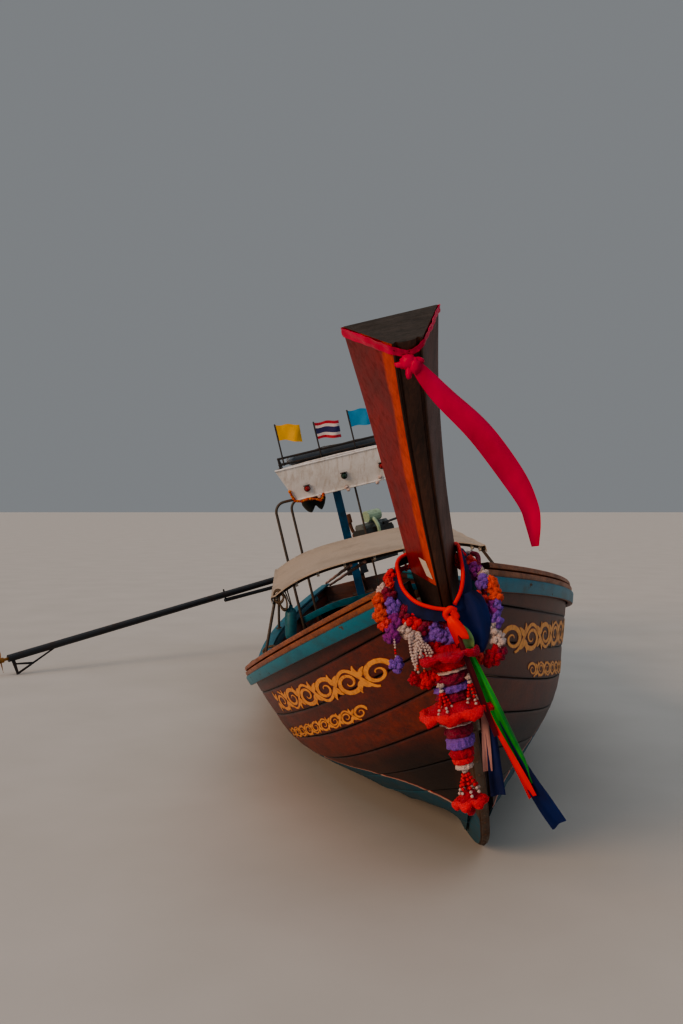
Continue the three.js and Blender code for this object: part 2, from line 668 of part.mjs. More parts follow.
const RACK = {
  low: REAR.roof + 62, high: REAR.roof + 128, foot: REAR.roof + 22.5, half: 640, from: 5640, to: 6900,
};
const RACK_BAR = { rail: 12, post: 10, lap: 8, slats: [-320, 0, 320] };
function makeRack() {
  const pieces = [];
  const reach = RACK.half + RACK_BAR.lap;
  const front = RACK.from - RACK_BAR.lap;
  const back = RACK.to + RACK_BAR.lap;
  for (const z of [RACK.low, RACK.high]) {
    for (const s of [RACK.from, RACK.to]) {
      pieces.push(bar([at(s, -reach, z), at(s, reach, z)], RACK_BAR.rail));
    }
    for (const hand of [-1, 1]) {
      pieces.push(bar([at(front, hand * RACK.half, z), at(back, hand * RACK.half, z)], RACK_BAR.rail));
    }
  }
  for (const s of [RACK.from, (RACK.from + RACK.to) / 2, RACK.to]) {
    for (const hand of [-1, 1]) {
      const b = hand * RACK.half;
      pieces.push(bar([at(s, b, RACK.foot), at(s, b, RACK.high)], RACK_BAR.post));
    }
  }
  for (const b of RACK_BAR.slats) {
    pieces.push(bar([at(RACK.from, b, RACK.low), at(RACK.to, b, RACK.low)], RACK_BAR.post));
  }
  return join(pieces);
}

put(boat, 'rear_canopy_frame', makeRearFrame(), steel);
put(boat, 'rear_canopy_roof', makeRoof(), whitePanel);
put(boat, 'rear_canopy_front_board', makeFascia(), whitePanel);
put(boat, 'roof_rack', makeRack(), darkIron);

// Folded tarpaulin on the rack's slats, a loaf with a soft top
const TARP_GAP = 0.5;
// Columns: station and how full the loaf is there.
const TARP_ROWS = [[RACK.from + 60, 0.92], [RACK.from + 200, 1], [RACK.to - 260, 1], [RACK.to - 140, 0.9]];
function makeTarp() {
  const outline = [[-520, 0], [520, 0], [540, 30], [470, 62], [120, 74], [-260, 66], [-500, 56], [-535, 28]];
  const base = RACK.low + RACK_BAR.rail + TARP_GAP;
  return loft(TARP_ROWS.map(([s, full]) => outline.map(([b, z]) => at(s, b * full, base + z * full))));
}
put(boat, 'roof_tarpaulin', makeTarp(), tarp);
const BLUE_POST = { from: 6370, to: 6430, inner: 40, outer: 130, below: 4 };
const postFoot = [BLUE_POST.from, BLUE_POST.inner, FLOOR.high + GAP];
const postHead = [BLUE_POST.to, BLUE_POST.outer, REAR.roof - BLUE_POST.below];
put(boat, 'blue_post', block(postFoot, postHead), bluePaint);

// Flags on the rack's front bar. Columns: name, b of the pole, its top, fly and hoist of the flag, paint.
const FLAGS = [
  { name: 'yellow', b: 590, top: 2830, fly: 250, hoist: 165, paint: yellowCloth },
  { name: 'striped', b: 180, top: 2760, fly: 260, hoist: 175, paint: stripedCloth },
  { name: 'blue', b: -200, top: 2800, fly: 250, hoist: 170, paint: skyCloth },
];
const FLAG = { thick: 5, steps: 5, off: 9, wave: 22, turn: 1.3, droop: 10, below: 12 };
const FLAG_POLE = { radius: 8, below: 18, gap: 0.5 };
for (const flag of FLAGS) {
  const s = RACK.from - RACK_BAR.rail - FLAG_POLE.radius - FLAG_POLE.gap;
  const pole = bar([at(s, flag.b, RACK.low - FLAG_POLE.below), at(s, flag.b, flag.top)], FLAG_POLE.radius);
  put(boat, `flag_pole_${flag.name}`, pole, darkIron);
  const rings = [];
  for (let i = 0; i <= FLAG.steps; i += 1) {
    const b = flag.b - FLAG.off - flag.fly * i / FLAG.steps;
    const near = s + FLAG.wave * Math.sin(i * FLAG.turn);
    const far = near + FLAG.thick;
    const high = flag.top - FLAG.below - FLAG.droop * i;
    const low = high - flag.hoist;
    rings.push([at(near, b, high), at(far, b, high), at(far, b, low), at(near, b, low)]);
  }
  put(boat, `flag_${flag.name}`, loft(rings), flag.paint);
}

// Soft bundle slung under the forward hoop of the rear canopy. Columns: b, radius.
const BUNDLE_ROWS = [[235, 18], [300, 62], [362, 42], [420, 66], [505, 26]];
const BUNDLE = { below: 15.5, thin: 0.8, deep: 1.25 };
function makeHungBundle() {
  const top = REAR.low - BUNDLE.below;
  return loft(BUNDLE_ROWS.map(([b, r]) => {
    const ring = [];
    for (let k = 0; k < 8; k += 1) {
      const angle = (k + 0.5) * Math.PI / 4;
      const s = REAR_HOOPS[0].s + r * BUNDLE.thin * Math.cos(angle);
      ring.push(at(s, b, top + r * BUNDLE.deep * (Math.sin(angle) - 1)));
    }
    return ring;
  }));
}
put(boat, 'hung_bundle', makeHungBundle(), tarp);

// Rope made fast round the starboard rails: turns over the cap rail and down outside the rub rail
// Its two ends as shares of the hull's length. Columns: down from the sheer, out from it, measured level.
const LASHING_ENDS = [0.425, 0.437];
const LASHING = [
  [-31, -70, true], [-54, -70, true], [-58, 20, true], [-32, 52, true],
  [140, 60, false], [140, 39.5, false], [50, 39.5, false], [-31, 24, true],
];
function makeLashing() {
  const section = (t) => LASHING.map(([down, out, level]) => side(sheer(t, down, out, level), true));
  return loft(LASHING_ENDS.map(section));
}
put(boat, 'rope_lashing', makeLashing(), rope);

// A strip of cloth along points given as s, b, z and width, its flat side to the front
function strip(points, thick) {
  return loft(points.map(([s, b, z, wide], i) => {
    const [, nb, nz] = points[Math.min(i + 1, points.length - 1)];
    const [, lb, lz] = points[Math.max(i - 1, 0)];
    const across = new THREE.Vector2(nz - lz, lb - nb).normalize().multiplyScalar(wide / 2);
    const corner = ([u, w]) => at(s + w * thick / 2, b + u * across.x, z + u * across.y);
    return [[-1, -1], [1, -1], [1, 1], [-1, 1]].map(corner);
  }));
}

// Ribbon round the head of the prow, knotted in front, its tail blown out to port
// The band's places are shares of the prow's last length; out and clear are measured from its faces.
const RIBBON = { thick: 6, foot: 0.875, head: 0.985, out: 14, clear: 2.5, overFoot: 0.05, over: 0.045 };
function headSection(fraction, grow) {
  const low = postSection(PROFILE.length - 2);
  const high = postSection(PROFILE.length - 1);
  const ring = low.map((p, i) => p.clone().lerp(high[i], fraction));
  const centre = ring.reduce((sum, p) => sum.add(p), new THREE.Vector3()).divideScalar(ring.length);
  return ring.map((p) => p.add(p.clone().sub(centre).normalize().multiplyScalar(grow)));
}
function makeProwRibbon() {
  const band = (grow, from, to) => loft([headSection(from, grow), headSection(to, grow)]);
  const inside = band(RIBBON.clear, RIBBON.foot - RIBBON.overFoot, RIBBON.head + RIBBON.over);
  const loop = cut(band(RIBBON.out, RIBBON.foot, RIBBON.head), [inside]);
  const knot = block([-1672, -45, 2220], [-1622, 40, 2282]);
  const tail = strip([
    [-1660, -10, 2260, 60], [-1655, -90, 2130, 66], [-1650, -180, 1990, 68], [-1640, -260, 1820, 64],
    [-1630, -290, 1710, 54], [-1620, -280, 1560, 26],
  ], RIBBON.thick);
  return cut(join([loop, knot, tail]), [band(RIBBON.clear, 0.6, 1.05)]);
}
put(boat, 'prow_ribbon', makeProwRibbon(), pinkCloth);

// Garland round the foot of the prow: thick with yarn flowers in front, a bare tie over the rails behind.
// Columns: s, b, height and radius, from the front round the starboard side to the back.
const RING = [
  [-1060, 0, 1215, 45], [-1060, 80, 1225, 45], [-1055, 150, 1260, 45], [-1035, 195, 1320, 45],
  [-1005, 215, 1385, 40], [-950, 230, 1450, 25], [-885, 210, 1515, 15], [-850, 120, 1530, 14],
  [-845, 0, 1530, 14],
];
function makeGarlandRing() {
  const other = RING.slice(1, -1).reverse().map(([s, b, z, r]) => [s, -b, z, r]);
  const rows = [...RING, ...other];
  const path = new THREE.CatmullRomCurve3(rows.map(([s, b, z]) => at(s, b, z)), true, 'centripetal');
  const around = rows.length * 2;
  const frames = path.computeFrenetFrames(around, true);
  const geometry = new THREE.TorusGeometry(1, 0.5, 8, around);
  const p = geometry.attributes.position;
  for (let j = 0; j <= 8; j += 1) {
    for (let i = 0; i <= around; i += 1) {
      const u = (i % around) / around;
      const row = u * rows.length;
      const [before, after] = [rows[Math.floor(row)], rows[(Math.floor(row) + 1) % rows.length]];
      const r = before[3] + (after[3] - before[3]) * (row % 1);
      const angle = (j % 8) * Math.PI / 4;
      const k = i % around;
      const point = path.getPoint(u).addScaledVector(frames.normals[k], r * Math.cos(angle))
        .addScaledVector(frames.binormals[k], r * Math.sin(angle));
      p.setXYZ(j * (around + 1) + i, point.x, point.y, point.z);
    }
  }
  geometry.deleteAttribute('normal');
  geometry.deleteAttribute('uv');
  return outward(mergeVertices(geometry, 1e-3));
}
put(boat, 'garland_ring', makeGarlandRing(), purpleYarn);

// The long garland hangs plumb in front of the stem, so it leans in the heeled boat.
// Columns: height and radius; the wide ones are the frills.
const HANG = { s: -1065, topB: 55, topZ: 1160, lowB: 110, lowZ: 520 };
const GARLAND = [
  [1160, 60], [1120, 64], [1100, 80], [1080, 66], [1000, 70], [960, 85], [925, 150], [900, 140], [880, 58],
  [820, 54], [740, 48], [700, 30], [640, 44], [610, 70], [580, 62], [560, 26], [520, 20],
];
function makeHangingGarland() {
  return loft(GARLAND.map(([z, r]) => {
    const b = HANG.topB + (HANG.lowB - HANG.topB) * (HANG.topZ - z) / (HANG.topZ - HANG.lowZ);
    const ring = [];
    for (let k = 0; k < 10; k += 1) {
      const angle = k * Math.PI / 5;
      ring.push(at(HANG.s + r * Math.cos(angle), b + r * Math.sin(angle), z));
    }
    return ring;
  }));
}
put(boat, 'hanging_garland', makeHangingGarland(), redYarn);

// Sashes knotted on the front of the garland and trailing to port. Columns of each: s, b, z, width.
const SASHES = [
  [[-1130, 10, 1290, 40], [-1185, -45, 930, 46], [-1120, -15, 560, 50]],
  [[-1135, 10, 1290, 44], [-1165, -75, 940, 48], [-1150, -120, 590, 36]],
  [[-1140, 5, 1290, 44], [-1175, -100, 870, 50], [-1165, -210, 420, 58]],
];
function makeSashes() {
  const knot = block([-1152, -26, 1262], [-1112, 60, 1340]);
  return join([knot, ...SASHES.map((points) => strip(points, 7))]);
}
put(boat, 'bow_sashes', makeSashes(), greenCloth);

// Engine and tail. Everything hangs in a fork that turns on the spindle and lets the engine tip.
const swivel = new THREE.Group();
swivel.position.copy(at(PIVOT.s, 0, PIVOT.z));
swivel.rotation.z = TAIL_SWING;
boat.add(swivel);
const engine = new THREE.Group();
swivel.add(engine);

// The dip that sets the skeg's tip on the sand
function tailDip() {
  const pivotHeight = PIVOT.z * Math.cos(HEEL) + KEEL_HALF * Math.sin(HEEL);
  const sideways = -Math.sin(TAIL_SWING) * Math.sin(HEEL);
  const upright = Math.cos(HEEL);
  const alongCos = sideways * TAIL_LONG - upright * SKEG_DEEP;
  const alongSin = sideways * SKEG_DEEP + upright * TAIL_LONG;
  const lift = pivotHeight - SKEG_CLEAR;
  return Math.acos(-lift / Math.hypot(alongCos, alongSin)) - Math.atan2(alongSin, alongCos);
}
engine.rotation.x = -tailDip();

const v3 = (x, y, z) => new THREE.Vector3(x, y, z);
function slab(low, high) {
  const geometry = new THREE.BoxGeometry(high[0] - low[0], high[1] - low[1], high[2] - low[2]);
  return geometry.translate((low[0] + high[0]) / 2, (low[1] + high[1]) / 2, (low[2] + high[2]) / 2);
}

const FORK = {
  inside: 130, cheek: 16, half: 55, plate: 30, plateOver: 10, high: 60, pin: 19, play: 1.2, lap: 5,
};
const FORK_LOW = POST.top + 2 - PIVOT.z;
function makeFork() {
  const outside = FORK.inside + FORK.cheek;
  const long = FORK.half + FORK.plateOver;
  const plate = slab([-outside, -long, FORK_LOW], [outside, long, FORK_LOW + FORK.plate]);
  const tip = v3(0, 0, FORK_LOW - SPINDLE.long + 10);
  const spindle = bar([tip, v3(0, 0, FORK_LOW + FORK.lap)], SPINDLE.radius, { sides: 16 });
  const cheeks = [-1, 1].map((hand) => {
    const near = hand * FORK.inside;
    const far = hand * outside;
    const low = [Math.min(near, far), -FORK.half, FORK_LOW + FORK.lap];
    return slab(low, [Math.max(near, far), FORK.half, FORK.high]);
  });
  const bore = bar([v3(-outside - 10, 0, 0), v3(outside + 10, 0, 0)], FORK.pin + FORK.play, { sides: 16 });
  return cut(join([plate, spindle, ...cheeks]), [bore]);
}
put(swivel, 'swivel_fork', makeFork(), darkIron);

// Open engine: crankcase with ribs, sump, head and bell housing in one casting, pinned in the fork
const HEAD_TOP = 315;
const RIBS = { from: -640, to: -260, pitch: 95, thick: 22, half: 158, low: -20, high: 200 };
function makeEngine() {
  const pieces = [
    slab([-145, -700, -30], [145, -175, 220]),
    slab([-110, -680, -145], [110, -200, -25]),
    slab([-125, -695, 215], [125, -180, HEAD_TOP]),
    slab([-160, -205, -90], [160, -160, 160]),
  ];
  for (let y = RIBS.from; y <= RIBS.to; y += RIBS.pitch) {
    pieces.push(slab([-RIBS.half, y, RIBS.low], [RIBS.half, y + RIBS.thick, RIBS.high]));
  }
  const bell = [[0, -170], [150, -170], [128, -120], [92, -70], [84, 30], [60, 50], [0, 50]]
    .map(([r, y]) => new THREE.Vector2(r, y));
  pieces.push(new THREE.LatheGeometry(bell, 14));
  const pinEnd = FORK.inside + FORK.cheek + 12;
  pieces.push(bar([v3(-pinEnd, 0, 0), v3(pinEnd, 0, 0)], FORK.pin, { sides: 16 }));
  return join(pieces);
}
put(engine, 'engine_block', makeEngine(), darkIron);

function makeRockerCover() {
  const outline = [[-85, 0], [85, 0], [85, 40], [60, 72], [-60, 72], [-85, 40]];
  return loft([-670, -205].map((y) => outline.map(([x, z]) => v3(x, y, HEAD_TOP + GAP + z))));
}
put(engine, 'rocker_cover', makeRockerCover(), enamel);

const MANIFOLD = { x: 205, z: 255, from: -660, to: -250, radius: 30 };
const PORTS = { x: 125.5, from: -620, to: -290, pitch: 110, radius: 20 };
function makeExhaust() {
  const { x, z, from, to, radius } = MANIFOLD;
  const pieces = [bar([v3(x, from, z), v3(x, to, z)], radius, { sides: 10 })];
  for (let y = PORTS.from; y <= PORTS.to; y += PORTS.pitch) {
    pieces.push(bar([v3(PORTS.x, y, z), v3(x, y, z)], PORTS.radius));
  }
  const riser = [v3(x, -300, z), v3(215, -260, 330), v3(215, -240, 520)];
  pieces.push(bar(riser, 24, { sides: 10, steps: 8, smooth: true }));
  const silencer = [v3(215, -243, 440), v3(215, -239, 560)];
  pieces.push(bar(silencer, 42, { sides: 10 }));
  return join(pieces);
}
put(engine, 'exhaust', makeExhaust(), steel);

function makeAirCleaner() {
  const canister = bar([v3(-40, -560, 470), v3(-40, -330, 470)], 78, { sides: 14 });
  const bend = [v3(-40, -400, 450), v3(-120, -400, 420), v3(-170, -400, 300), v3(-160, -400, 230)];
  const elbow = bar(bend, 26, { steps: 8, smooth: true });
  const neck = bar([v3(-40, -450, 387.8), v3(-40, -450, 440)], 30, { sides: 10 });
  const engineRoom = slab([-RIBS.half - 0.5, -700, -50], [RIBS.half + 0.5, -160, 315.8]);
  return cut(join([canister, elbow, neck]), [engineRoom]);
}
put(engine, 'air_cleaner', makeAirCleaner(), darkIron);

// Front end drive: crank, pump and alternator pulleys in one belt, with the alternator behind it
// Columns of the pulleys: x and height of the middle, radius; the first two sit on shafts.
const PULLEYS = [[0, 60, 82], [-10, 250, 62], [165, 175, 44]];
function makeFrontDrive() {
  const pieces = PULLEYS.map(([x, z, r]) => bar([v3(x, -765, z), v3(x, -730, z)], r, { sides: 14 }));
  for (const [x, z] of PULLEYS.slice(0, 2)) {
    pieces.push(bar([v3(x, -735, z), v3(x, -700 - GAP, z)], 22));
  }
  const belt = PULLEYS.map(([x, z, r], i) => {
    const [nx, nz, nr] = PULLEYS[(i + 1) % PULLEYS.length];
    const run = new THREE.Vector2(nx - x, nz - z).normalize();
    return [x - run.y * r, z + run.x * r, nx - run.y * nr, nz + run.x * nr];
  });
  const ring = belt.flatMap(([x, z, nx, nz]) => [[x, z], [nx, nz]]);
  pieces.push(loft([-757, -741].map((y) => ring.map(([x, z]) => v3(x, y, z)))));
  pieces.push(bar([v3(212, -735, 175), v3(212, -590, 175)], 50, { sides: 12 }));
  pieces.push(slab([165, -742, 150], [212, -728, 200]));
  return join(pieces);
}
put(engine, 'front_drive', makeFrontDrive(), steel);

function makeTiller() {
  const grip = [v3(-108, -560, 334), v3(-108, -860, 350), v3(-60, -1180, 330), v3(0, -1400, 300)];
  const clamp = slab([-122, -640, 315.8], [-92, -560, 352]);
  return join([clamp, bar(grip, 16, { steps: 12, smooth: true })]);
}

// Tail: drive tube with a stiffening tube slung under it and a pin at the far end of that
const TUBE = { radius: 38, from: 52, to: 4820 };
const SHAFT = { radius: 15, sunk: 60, play: 2, over: 10 };
const STAY = { radius: 22, from: 1150, to: 2120, low: 92, high: 66 };
const HANGER = { radius: 16, behind: 40 };
const TAIL_PIN = { radius: 10, before: 15, low: -80, high: 66 };
function makeTail() {
  const tube = bar([v3(0, TUBE.from, 0), v3(0, TUBE.to, 0)], TUBE.radius, { sides: 12 });
  const under = bar([v3(0, STAY.from, -STAY.low), v3(0, STAY.to, -STAY.high)], STAY.radius);
  const hangerY = STAY.from + HANGER.behind;
  const hanger = bar([v3(0, hangerY, -STAY.low), v3(0, hangerY, 0)], HANGER.radius);
  const pinY = STAY.to - TAIL_PIN.before;
  const pin = bar([v3(0, pinY, TAIL_PIN.low), v3(0, pinY, TAIL_PIN.high)], TAIL_PIN.radius);
  const inner = v3(0, TUBE.to - SHAFT.sunk - SHAFT.over, 0);
  const bearing = bar([inner, v3(0, TUBE.to + SHAFT.over, 0)], SHAFT.radius + SHAFT.play, { sides: 16 });
  return cut(join([tube, under, hanger, pin]), [bearing]);
}
put(engine, 'tail_tube', makeTail(), darkIron);

// Skeg: an upright and a raking flat bar that meet at the tip, with a short cross bar
function makeSkeg() {
  const half = 6;
  const tip = [TAIL_LONG, -SKEG_DEEP];
  const plate = (points) => loft([-half, half].map((x) => points.map(([y, z]) => v3(x, y, z))));
  const under = -TUBE.radius - GAP;
  return join([
    plate([[tip[0] - 22, tip[1]], [tip[0], tip[1]], [tip[0] + 20, under], [tip[0] - 16, under]]),
    plate([[tip[0] - 22, tip[1]], [tip[0] - 2, tip[1] + 16], [tip[0] - 405, under], [tip[0] - 450, under]]),
    plate([[tip[0] - 8, -82], [tip[0] - 8, -64], [tip[0] - 190, -104], [tip[0] - 170, -124]]),
  ]);
}
put(engine, 'skeg', makeSkeg(), darkIron);

// Propeller on its shaft: a hub and two twisted blades
const PROP = { radius: 128, hub: 27, from: TUBE.to - SHAFT.sunk, middle: TUBE.to + 82, to: TUBE.to + 118 };
// The blade from its root out: inner radius, twist in degrees and thickness, and its chord at each step.
const BLADE = { root: 15, twist: 62, untwist: 34, thick: 5, thinning: 0.6, flat: 0.5 };
const CHORDS = [22, 44, 62, 66, 54, 20];
function makePropeller() {
  const hub = bar([v3(0, PROP.middle - 32, 0), v3(0, PROP.to, 0)], PROP.hub, { sides: 12 });
  const shaft = bar([v3(0, PROP.from, 0), v3(0, PROP.middle, 0)], SHAFT.radius, { sides: 12 });
  const blade = (hand) => {
    const rings = [];
    CHORDS.forEach((chord, i) => {
      const share = i / (CHORDS.length - 1);
      const r = BLADE.root + (PROP.radius - BLADE.root) * share;
      const twist = (BLADE.twist - BLADE.untwist * share) * Math.PI / 180;
      const thick = BLADE.thick - BLADE.thinning * i;
      const along = new THREE.Vector2(Math.cos(twist), Math.sin(twist)).multiplyScalar(chord / 2);
      const through = new THREE.Vector2(-Math.sin(twist), Math.cos(twist)).multiplyScalar(thick);
      rings.push([[-1, -1], [1, -1], [1, 1], [-1, 1]].map(([p, q]) => {
        const x = along.x * p + through.x * q;
        const y = along.y * p + through.y * q;
        return v3(hand * x, PROP.middle + y * BLADE.flat, hand * r);
      }));
    });
    return loft(rings);
  };
  return join([shaft, hub, blade(1), blade(-1)]);
}
put(engine, 'propeller', makePropeller(), brass);
put(engine, 'tiller', makeTiller(), steel);

// Stand the boat on the floor with the middle of its box at the origin
model.updateMatrixWorld(true);
const box = new THREE.Box3().setFromObject(model, true);
const middle = box.getCenter(new THREE.Vector3());
model.position.set(-middle.x, -middle.y, -box.min.z);
model.userData.offset = model.position.toArray();
model.updateMatrixWorld(true);
export default model;
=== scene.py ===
import functools
import random
from math import cos, dist, hypot, pi, radians, sin

import bmesh
import bpy
import numpy as np
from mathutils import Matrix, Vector, noise


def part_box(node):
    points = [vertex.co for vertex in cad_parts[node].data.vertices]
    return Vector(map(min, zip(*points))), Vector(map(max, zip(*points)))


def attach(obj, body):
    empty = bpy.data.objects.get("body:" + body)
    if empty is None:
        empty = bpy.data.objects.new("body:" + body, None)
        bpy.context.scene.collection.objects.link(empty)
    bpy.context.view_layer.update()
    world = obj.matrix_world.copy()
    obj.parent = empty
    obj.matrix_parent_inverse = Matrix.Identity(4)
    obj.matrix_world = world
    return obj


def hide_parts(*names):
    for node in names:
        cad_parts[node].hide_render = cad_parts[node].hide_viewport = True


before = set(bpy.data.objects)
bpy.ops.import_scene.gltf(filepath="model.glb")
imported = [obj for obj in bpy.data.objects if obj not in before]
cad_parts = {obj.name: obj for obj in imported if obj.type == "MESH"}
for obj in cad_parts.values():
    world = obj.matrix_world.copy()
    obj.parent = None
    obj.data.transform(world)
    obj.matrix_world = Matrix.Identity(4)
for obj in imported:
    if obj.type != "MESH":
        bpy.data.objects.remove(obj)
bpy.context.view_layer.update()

# Where the boat is looked at from: a level camera on the sand ahead of the prow and a little to port,
# with the horizon just above the middle of the picture, a pale floor and a wide soft sky.
EYE = Vector((0.6510, -8.7943, 1.7266))
LOOKS_TO_STARBOARD_BY = radians(2.0)
HORIZON_ABOVE_MIDDLE = 4 / 1024

eye = bpy.data.cameras.new("eye")
eye.lens = 35.0
eye.sensor_width = 36.0
eye.shift_y = -HORIZON_ABOVE_MIDDLE
eye.clip_end = 400.0
eye_stand = bpy.data.objects.new("eye", eye)
eye_stand.location = EYE
eye_stand.rotation_euler = (pi / 2, 0.0, -LOOKS_TO_STARBOARD_BY)
bpy.context.scene.collection.objects.link(eye_stand)
bpy.context.scene.camera = eye_stand


class Finish:
    """A painted, oiled or woven surface: a material whose nodes are set out one after another."""

    def __init__(self, name, **sockets):
        self.material = bpy.data.materials.new(name)
        self.material.use_nodes = True
        self.nodes = self.material.node_tree.nodes
        self.links = self.material.node_tree.links
        self.shader = self.nodes["Principled BSDF"]
        self.fill(self.shader, sockets)

    def node(self, kind, **settings):
        made = self.nodes.new("ShaderNode" + kind)
        for key, value in settings.items():
            setattr(made, key, value)
        return made

    def feed(self, value, into):
        """Puts a number, a colour or the result of another node into a socket."""
        if isinstance(value, bpy.types.NodeSocket):
            self.links.new(value, into)
        else:
            into.default_value = value

    def fill(self, made, values):
        for key, value in values.items():
            self.feed(value, made.inputs[key.replace("_", " ")])

    def color(self, out):
        self.feed(out, self.shader.inputs["Base Color"])

    def roughness(self, out):
        self.feed(out, self.shader.inputs["Roughness"])

    def relief(self, height, deep, strength=1.0):
        bump = self.node("Bump")
        self.fill(bump, {"Strength": strength, "Distance": deep, "Height": height})
        self.feed(bump.outputs["Normal"], self.shader.inputs["Normal"])

    def place(self, scale=(1, 1, 1), turn=(0, 0, 0)):
        where = self.node("TexCoord").outputs["Object"]
        mapping = self.node("Mapping")
        self.fill(mapping, {"Vector": where, "Scale": scale, "Rotation": turn})
        return mapping.outputs["Vector"]

    def tint(self, name, kind="Fac"):
        """A value or colour that the corners of a piece carry."""
        return self.node("Attribute", attribute_name=name).outputs[kind]

    def pattern(self, kind, where, bands="X", **values):
        """How strong a noise, a wave or a net of cells is at a place."""
        made = self.node("Tex" + kind)
        if kind == "Wave":
            made.bands_direction = bands
        self.fill(made, {"Vector": where, **values})
        return made.outputs["Distance" if kind == "Voronoi" else "Fac"]

    def mix(self, share, one, other, way="MIX"):
        """Blends two colours."""
        made = self.node("Mix", data_type="RGBA", blend_type=way)
        for value, index in ((share, 0), (one, 6), (other, 7)):
            self.feed(value, made.inputs[index])
        return made.outputs[2]

    def maths(self, what, *values, clamp=False):
        made = self.node("Math", operation=what, use_clamp=clamp)
        for index, value in enumerate(values):
            self.feed(value, made.inputs[index])
        return made.outputs[0]

    def between(self, value, low, high, to_low=0.0, to_high=1.0):
        made = self.node("MapRange", clamp=True)
        span = {"From Min": low, "From Max": high, "To Min": to_low, "To Max": to_high}
        self.fill(made, {"Value": value, **span})
        return made.outputs["Result"]

    def group(self, tree, where, **values):
        made = self.node("Group", node_tree=tree)
        self.fill(made, {"Place": where, **values})
        return made.outputs

    def soil(self, clean, dirt, size, amount, stretch=(1, 1, 1)):
        """A colour with patches of dirt on it, and the mask of the patches."""
        return self.group(grime, self.place(stretch), Clean=clean, Dirt=dirt, Size=size, Amount=amount)


def rgb(red, green, blue):
    """A colour read off as 0-255 on a screen, as the linear colour that a shader takes."""
    def linear(seen):
        seen /= 255
        return seen / 12.92 if seen <= 0.04045 else ((seen + 0.055) / 1.055) ** 2.4

    return (linear(red), linear(green), linear(blue), 1.0)


def new_group(name, inputs, outputs):
    """A shared effect with named sockets. Each socket is (name, kind, starting value)."""
    tree = bpy.data.node_groups.new(name, "ShaderNodeTree")
    for label, kind, start in inputs:
        socket = tree.interface.new_socket(label, in_out="INPUT", socket_type="NodeSocket" + kind)
        if start is not None:
            socket.default_value = start
    for label, kind in outputs:
        tree.interface.new_socket(label, in_out="OUTPUT", socket_type="NodeSocket" + kind)
    effect = Finish.__new__(Finish)
    effect.nodes = tree.nodes
    effect.links = tree.links
    effect.inputs = tree.nodes.new("NodeGroupInput").outputs
    effect.results = tree.nodes.new("NodeGroupOutput").inputs
    return tree, effect


# Damp pale sand under the keel, raked smooth: one wide plain floor and the sky over it.
sand = Finish("pale_floor", Roughness=0.9)
speckle = sand.pattern("Noise", sand.place(), Scale=1.2, Detail=6.0)
sand.color(sand.mix(speckle, rgb(186, 181, 173), rgb(203, 198, 191)))
floor_mesh = bpy.data.meshes.new("floor")
REACH = 900.0
floor_mesh.from_pydata(
    [(-REACH, -REACH, 0), (REACH, -REACH, 0), (REACH, REACH, 0), (-REACH, REACH, 0)], [], [(0, 1, 2, 3)])
floor_mesh.materials.append(sand.material)
floor = bpy.data.objects.new("floor", floor_mesh)
bpy.context.scene.collection.objects.link(floor)

sky = bpy.data.worlds.new("soft_sky")
sky.use_nodes = True
sky.node_tree.nodes["Background"].inputs["Color"].default_value = rgb(184, 188, 192)
sky.node_tree.nodes["Background"].inputs["Strength"].default_value = 0.42
bpy.context.scene.world = sky
bpy.context.scene.view_settings.look = "AgX - Medium High Contrast"

# Three broad, far lights. Columns: name, place, what it looks at, spread in degrees, strength, colour.
LAMPS_ROUND = [
    ("low_sun_side", (-7.0, -9.0, 4.5), (0.4, -3.0, 0.8), 25, 1.75, rgb(255, 212, 176)),
    ("open_sea_side", (9.0, -5.0, 5.0), (0.4, -3.0, 0.8), 40, 0.14, rgb(196, 214, 236)),
    ("overhead", (0.2, -1.0, 9.0), (0.2, -1.001, 0.0), 90, 0.78, rgb(236, 240, 246)),
]
for name, spot, target, spread, strength, colour in LAMPS_ROUND:
    lamp = bpy.data.lights.new(name, "SUN")
    lamp.energy = strength
    lamp.angle = radians(spread)
    lamp.color = colour[:3]
    stand = bpy.data.objects.new(name, lamp)
    stand.location = spot
    stand.rotation_euler = (Vector(target) - Vector(spot)).to_track_quat("-Z", "Y").to_euler()
    bpy.context.scene.collection.objects.link(stand)


# The boat lies heeled on its starboard bilge. Its own directions are s aft from the foot of the stem,
# b to starboard and z up from the keel, in metres; the blue post, whose place aboard is known, ties them
# to the ground.
HEEL = radians(13.6)
POST_FRONT, POST_STARBOARD, POST_FOOT, POST_TOP = 6.370, 0.130, 0.2524, 2.326
post_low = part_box("blue_post")[0]
SHIFT = Vector((
    post_low.x + POST_STARBOARD * cos(HEEL) + POST_TOP * sin(HEEL),
    post_low.y - POST_FRONT,
    post_low.z + POST_STARBOARD * sin(HEEL) - POST_FOOT * cos(HEEL),
))


def aboard(s, b, z):
    """A place on the ground for a place aboard."""
    up_and_over = Vector((-b * cos(HEEL) - z * sin(HEEL), s, -b * sin(HEEL) + z * cos(HEEL)))
    return up_and_over + SHIFT


def boat_direction(s, b, z):
    return aboard(s, b, z) - aboard(0, 0, 0)


def face_out(mesh, join_within):
    """Turns every face of a mesh outwards. Corners as close as join_within are made one first."""
    shell = bmesh.new()
    shell.from_mesh(mesh)
    if join_within:
        bmesh.ops.remove_doubles(shell, verts=shell.verts, dist=join_within)
    bmesh.ops.recalc_face_normals(shell, faces=shell.faces)
    shell.to_mesh(mesh)
    shell.free()


def once_round(count):
    """The angles of so many even steps round a circle."""
    return [2 * pi * k / count for k in range(count)]


